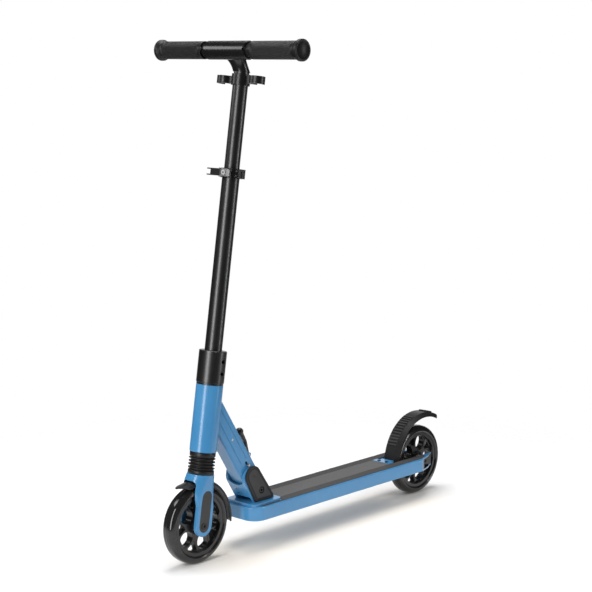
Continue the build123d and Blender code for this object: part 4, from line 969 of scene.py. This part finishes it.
def build_ridges():
    """Bars with sloped sides along X, spread evenly across Y, joined to the strips that come in."""
    places = {"Count": 9, "Half Spread": 0.02, "Middle": 0.0, "Top": 0.0858}
    bar_sizes = {"Half Length": 0.16, "Half Width": 0.001, "Height": 0.0003}
    tree, start = new_tree("strip_ridges", {**places, **bar_sizes})
    other_side = maths(tree, "MULTIPLY", start["Half Spread"], -1.0)
    ends = {
        "Count": start["Count"],
        "Start Location": vector_of(tree, X=start["Middle"], Y=other_side, Z=start["Top"]),
        "Offset": vector_of(tree, X=start["Middle"], Y=start["Half Spread"], Z=start["Top"]),
    }
    line = add(tree, "GeometryNodeMeshLine", ends, mode="END_POINTS")
    corner = math.sqrt(2.0)
    taper = {"Vertices": 4, "Radius Top": corner * RIDGE_CREST, "Radius Bottom": corner, "Depth": 1.0}
    bar = add(tree, "GeometryNodeMeshCone", taper, fill_type="NGON")
    quarter = {"Geometry": bar.outputs["Mesh"], "Rotation": (0.0, 0.0, math.pi / 4)}
    square = add(tree, "GeometryNodeTransform", quarter)
    return scatter(tree, start, line.outputs[0], square.outputs[0])


RIDGES = build_ridges()
print("ridge nodes", len(RIDGES.nodes))

# %% Strips on the deck
RIDGE_COUNT = 9
RIDGE_HALF = 20.0
RIDGE_END_GAP = 4.0
RIDGE_LIFT = 0.05
STRIP_MARGIN = 3.2


def middle_strip_span(mesh):
    """Ends, in X, of the strip that crosses the middle line."""
    reach = (RIDGE_HALF + STRIP_MARGIN) * MM
    ends = [vert.co.x for vert in mesh.vertices if abs(vert.co.y) < reach]
    return min(ends), max(ends)


def make_strips():
    form = bmesh.new()
    form.from_mesh(nodes["grip_tape"].data)
    base = to_mesh(form, "deck_strips", Matrix.Identity(4))
    base.shade_flat()
    base.materials.clear()
    low, high = middle_strip_span(base)
    sizes = {
        "Count": RIDGE_COUNT,
        "Half Spread": RIDGE_HALF * MM,
        "Middle": (low + high) / 2,
        "Top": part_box("grip_tape")[1][2] + RIDGE_LIFT * MM,
        "Half Length": (high - low) / 2 - RIDGE_END_GAP * MM,
        "Half Width": 1.1 * MM,
        "Height": 0.3 * MM,
        "Material": FINISH["strip"],
    }
    piece = show("deck_strips", apply_tree("deck_strips", base, RIDGES, sizes), "strip")
    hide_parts("grip_tape")
    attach(piece, "deck")
    return piece


strips = make_strips()
print("deck strips", len(strips.data.polygons), "faces")

# %% [markdown]
# ### Spring
# A coil spring inside the steerer carries the rider's weight. It is hidden, but it shows when the leg is
# taken apart, and it has to get shorter as the fork dives. Its solid is a stack of rings. A Screw modifier
# on a circle could wind it, but a spiral curve with a round section keeps the number of turns and the wire
# as plain inputs. The piece then rides on the fork, as the boot does.

# %% Spring
SPRING_FOOT = 258.0
SPRING_TOP = 320.0
SPRING_RADIUS = 11.4
SPRING_WIRE = 3.6
SPRING_TURNS = 8.0


def build_coil():
    """A round wire wound evenly up Z, from the origin."""
    sizes = {"Turns": 8.0, "Radius": 0.0114, "Wire Radius": 0.0018, "Height": 0.058}
    tree, start = new_tree("coil_spring", sizes, takes_mesh=False)
    winding = {"Resolution": 36, "Rotations": start["Turns"], "Height": start["Height"]}
    width = {"Start Radius": start["Radius"], "End Radius": start["Radius"]}
    path = add(tree, "GeometryNodeCurveSpiral", {**winding, **width})
    round_wire = {"Resolution": 12, "Radius": start["Wire Radius"]}
    section = add(tree, "GeometryNodeCurvePrimitiveCircle", round_wire)
    sweep = {"Curve": path.outputs[0], "Profile Curve": section.outputs[0], "Fill Caps": True}
    wire = add(tree, "GeometryNodeCurveToMesh", sweep)
    return end_tree(tree, (wire.outputs[0],), start["Material"])


def wind_spring():
    sizes = {
        "Turns": SPRING_TURNS,
        "Radius": SPRING_RADIUS * MM,
        "Wire Radius": SPRING_WIRE / 2 * MM,
        "Height": (SPRING_TOP - SPRING_FOOT - SPRING_WIRE) * MM,
        "Material": FINISH["steel"],
    }
    mesh = apply_tree("spring_coil", bpy.data.meshes.new("spring_carrier"), build_coil(), sizes)
    mesh.transform(STEER @ Matrix.Translation((0, 0, (SPRING_FOOT + SPRING_WIRE / 2) * MM)))
    form = bmesh.new()
    form.from_mesh(mesh)
    close_seams(form)
    print("spring volume", round(form.calc_volume(signed=True) / MM**3), "cubic mm")
    form.to_mesh(mesh)
    form.free()
    return mesh


spring = show("spring_coil", wind_spring(), "steel")
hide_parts("suspension_spring")
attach(spring, "fork")
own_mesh(spring)

# %% [markdown]
# ## Floor
# The scooter stands on white studio paper. A shadow catcher could hold the shadow, but it needs a
# see-through film and a backdrop added later. A disc of pale floor carries the soft shadow instead, and
# fades out before its edge shows. The blue deck throws its colour down, and a slightly warm patch under it
# keeps the shadow grey.

# %% Floor
FLOOR_CLEAR = 0.50
FLOOR_EDGE = 1.05
FLOOR_MARGIN = 0.05
PATCH_SIDE = 0.02
PATCH_LENGTH = (0.24, 0.40)
PATCH_WIDTH = (0.04, 0.12)
PATCH_TINT = colour(0.955, 0.892, 0.812)


def make_floor_material():
    material = bpy.data.materials.new("studio_floor")
    material.use_nodes = True
    tree = material.node_tree
    shader = tree.nodes["Principled BSDF"]
    shader.inputs["Roughness"].default_value = 0.9
    shader.inputs["Specular IOR Level"].default_value = 0.1
    where = add(tree, "ShaderNodeTexCoord").outputs["Object"]
    plain = mix_colour(tree, noise(tree, where, 3.0), grey(0.89), grey(0.91))
    place = split(tree, where)
    across = maths(tree, "ABSOLUTE", maths(tree, "SUBTRACT", place["Y"], PATCH_SIDE))
    length = map_range(tree, maths(tree, "ABSOLUTE", place["X"]), *PATCH_LENGTH, 1.0, 0.0)
    under = maths(tree, "MULTIPLY", length, map_range(tree, across, *PATCH_WIDTH, 1.0, 0.0))
    join(tree, mix_colour(tree, under, plain, PATCH_TINT), shader.inputs["Base Color"])
    fade = map_range(tree, vectors(tree, "LENGTH", where), FLOOR_CLEAR, FLOOR_EDGE, 1.0, 0.0)
    join(tree, fade, shader.inputs["Alpha"])
    return material


def make_floor():
    mesh = bpy.data.meshes.new("studio_floor")
    form = bmesh.new()
    bmesh.ops.create_circle(form, cap_ends=True, radius=FLOOR_EDGE + FLOOR_MARGIN, segments=96)
    form.to_mesh(mesh)
    form.free()
    mesh.materials.append(make_floor_material())
    floor = put("studio_floor", mesh)


make_floor()
print("floor fades from", FLOOR_CLEAR, "to", FLOOR_EDGE)

# %% [markdown]
# ## Camera
# The view is from the front left at hip height, slightly down, with a long lens that keeps the uprights
# nearly parallel. A Track To constraint could aim it, but a place, a heading and a pitch are plain values
# that can be matched to a photograph one by one.

# %% Camera
CAMERA_PLACE = Vector((2.2058, 2.0101, 0.9220))
CAMERA_YAW = math.radians(-137.03)
CAMERA_PITCH = math.radians(-8.859)
AHEAD = Vector((math.cos(CAMERA_YAW), math.sin(CAMERA_YAW), 0))
UP = Vector((0, 0, 1))


def look(thing, place, direction):
    """Takes a camera or lamp to its place and turns it along a direction."""
    thing.location = place
    thing.rotation_mode = "QUATERNION"
    thing.rotation_quaternion = direction.to_track_quat("-Z", "Y")


camera_data = bpy.data.cameras.new("camera")
camera_data.lens = 95.0
camera_data.sensor_width = 36.0
camera = put("camera", camera_data)
look(camera, CAMERA_PLACE, AHEAD * math.cos(CAMERA_PITCH) + UP * math.sin(CAMERA_PITCH))
bpy.context.scene.camera = camera
print("camera at", tuple(round(v, 3) for v in CAMERA_PLACE))

# %% [markdown]
# ## Lamps
# A softbox is placed by what it should draw. A strip to the left of the camera draws the bright line down
# the head tube, one far to the right draws the softer line at its edge, a wide one overhead and a little
# behind lights the deck and throws the shadow towards the viewer, and a small one high on the left draws
# the line along the bar's sleeve. Sun lamps would be simpler, but round tubes need long, soft lines.

# %% Lamps
SIDE = Vector((math.sin(CAMERA_YAW), -math.cos(CAMERA_YAW), 0))
AIM = Vector((0.16, 0.0, 0.40))
BAR = Vector((0.17, 0.0, 0.90))


def softbox(name, right, near, up, width, height, power, aim=AIM):
    """An area lamp placed from the aim point: to the picture's right, towards the camera, and up."""
    data = bpy.data.lights.new(name, "AREA")
    data.shape = "RECTANGLE"
    data.size = width
    data.size_y = height
    data.energy = power
    lamp = put(name, data)
    place = aim + SIDE * right - AHEAD * near + UP * up
    look(lamp, place, aim - place)
    return lamp


LAMPS = [
    softbox("strip_left", right=-0.90, near=1.40, up=0.25, width=0.52, height=1.6, power=22.0),
    softbox("strip_right", right=1.66, near=0.30, up=0.30, width=0.18, height=1.5, power=9.0),
    softbox("overhead", right=0.05, near=-0.42, up=2.10, width=1.5, height=1.5, power=44.0),
    softbox("high_left", right=-1.20, near=-0.05, up=0.42, width=0.5, height=0.5, power=4.0, aim=BAR),
]
print("lamps", [lamp.name for lamp in LAMPS])

# %% [markdown]
# ## World
# The world is white where the camera looks and dim behind the camera, as a studio is: that keeps black
# pieces black in front and lets their edges pick up the backdrop. A panorama picture could do this, but
# Light Path and one direction say it in a few nodes: camera rays see white, mirrored rays see the backdrop
# only behind the object, and all other rays get a plain grey fill.

# %% World
ROOM = 0.02
AMBIENT = 0.42
BACKDROP = (0.78, 0.97)


def make_world():
    world = bpy.data.worlds.new("studio")
    world.use_nodes = True
    tree = world.node_tree
    shade = tree.nodes["Background"]
    ray = add(tree, "ShaderNodeLightPath").outputs
    heading = vectors(tree, "DOT_PRODUCT", add(tree, "ShaderNodeTexCoord").outputs["Generated"], tuple(AHEAD))
    behind = map_range(tree, heading, *BACKDROP, ROOM, 1.0)
    mirrored = maths(tree, "MAXIMUM", ray["Is Glossy Ray"], ray["Is Transmission Ray"])
    level = add(tree, "ShaderNodeMix", {0: mirrored, 2: AMBIENT, 3: behind}, data_type="FLOAT")
    strength = maths(tree, "MAXIMUM", level.outputs[0], ray["Is Camera Ray"])
    join(tree, strength, shade.inputs["Strength"])
    shade.inputs["Color"].default_value = grey(1.0)
    bpy.context.scene.world = world


make_world()
bpy.context.scene.view_settings.view_transform = "Standard"
print("world", bpy.context.scene.world.name)
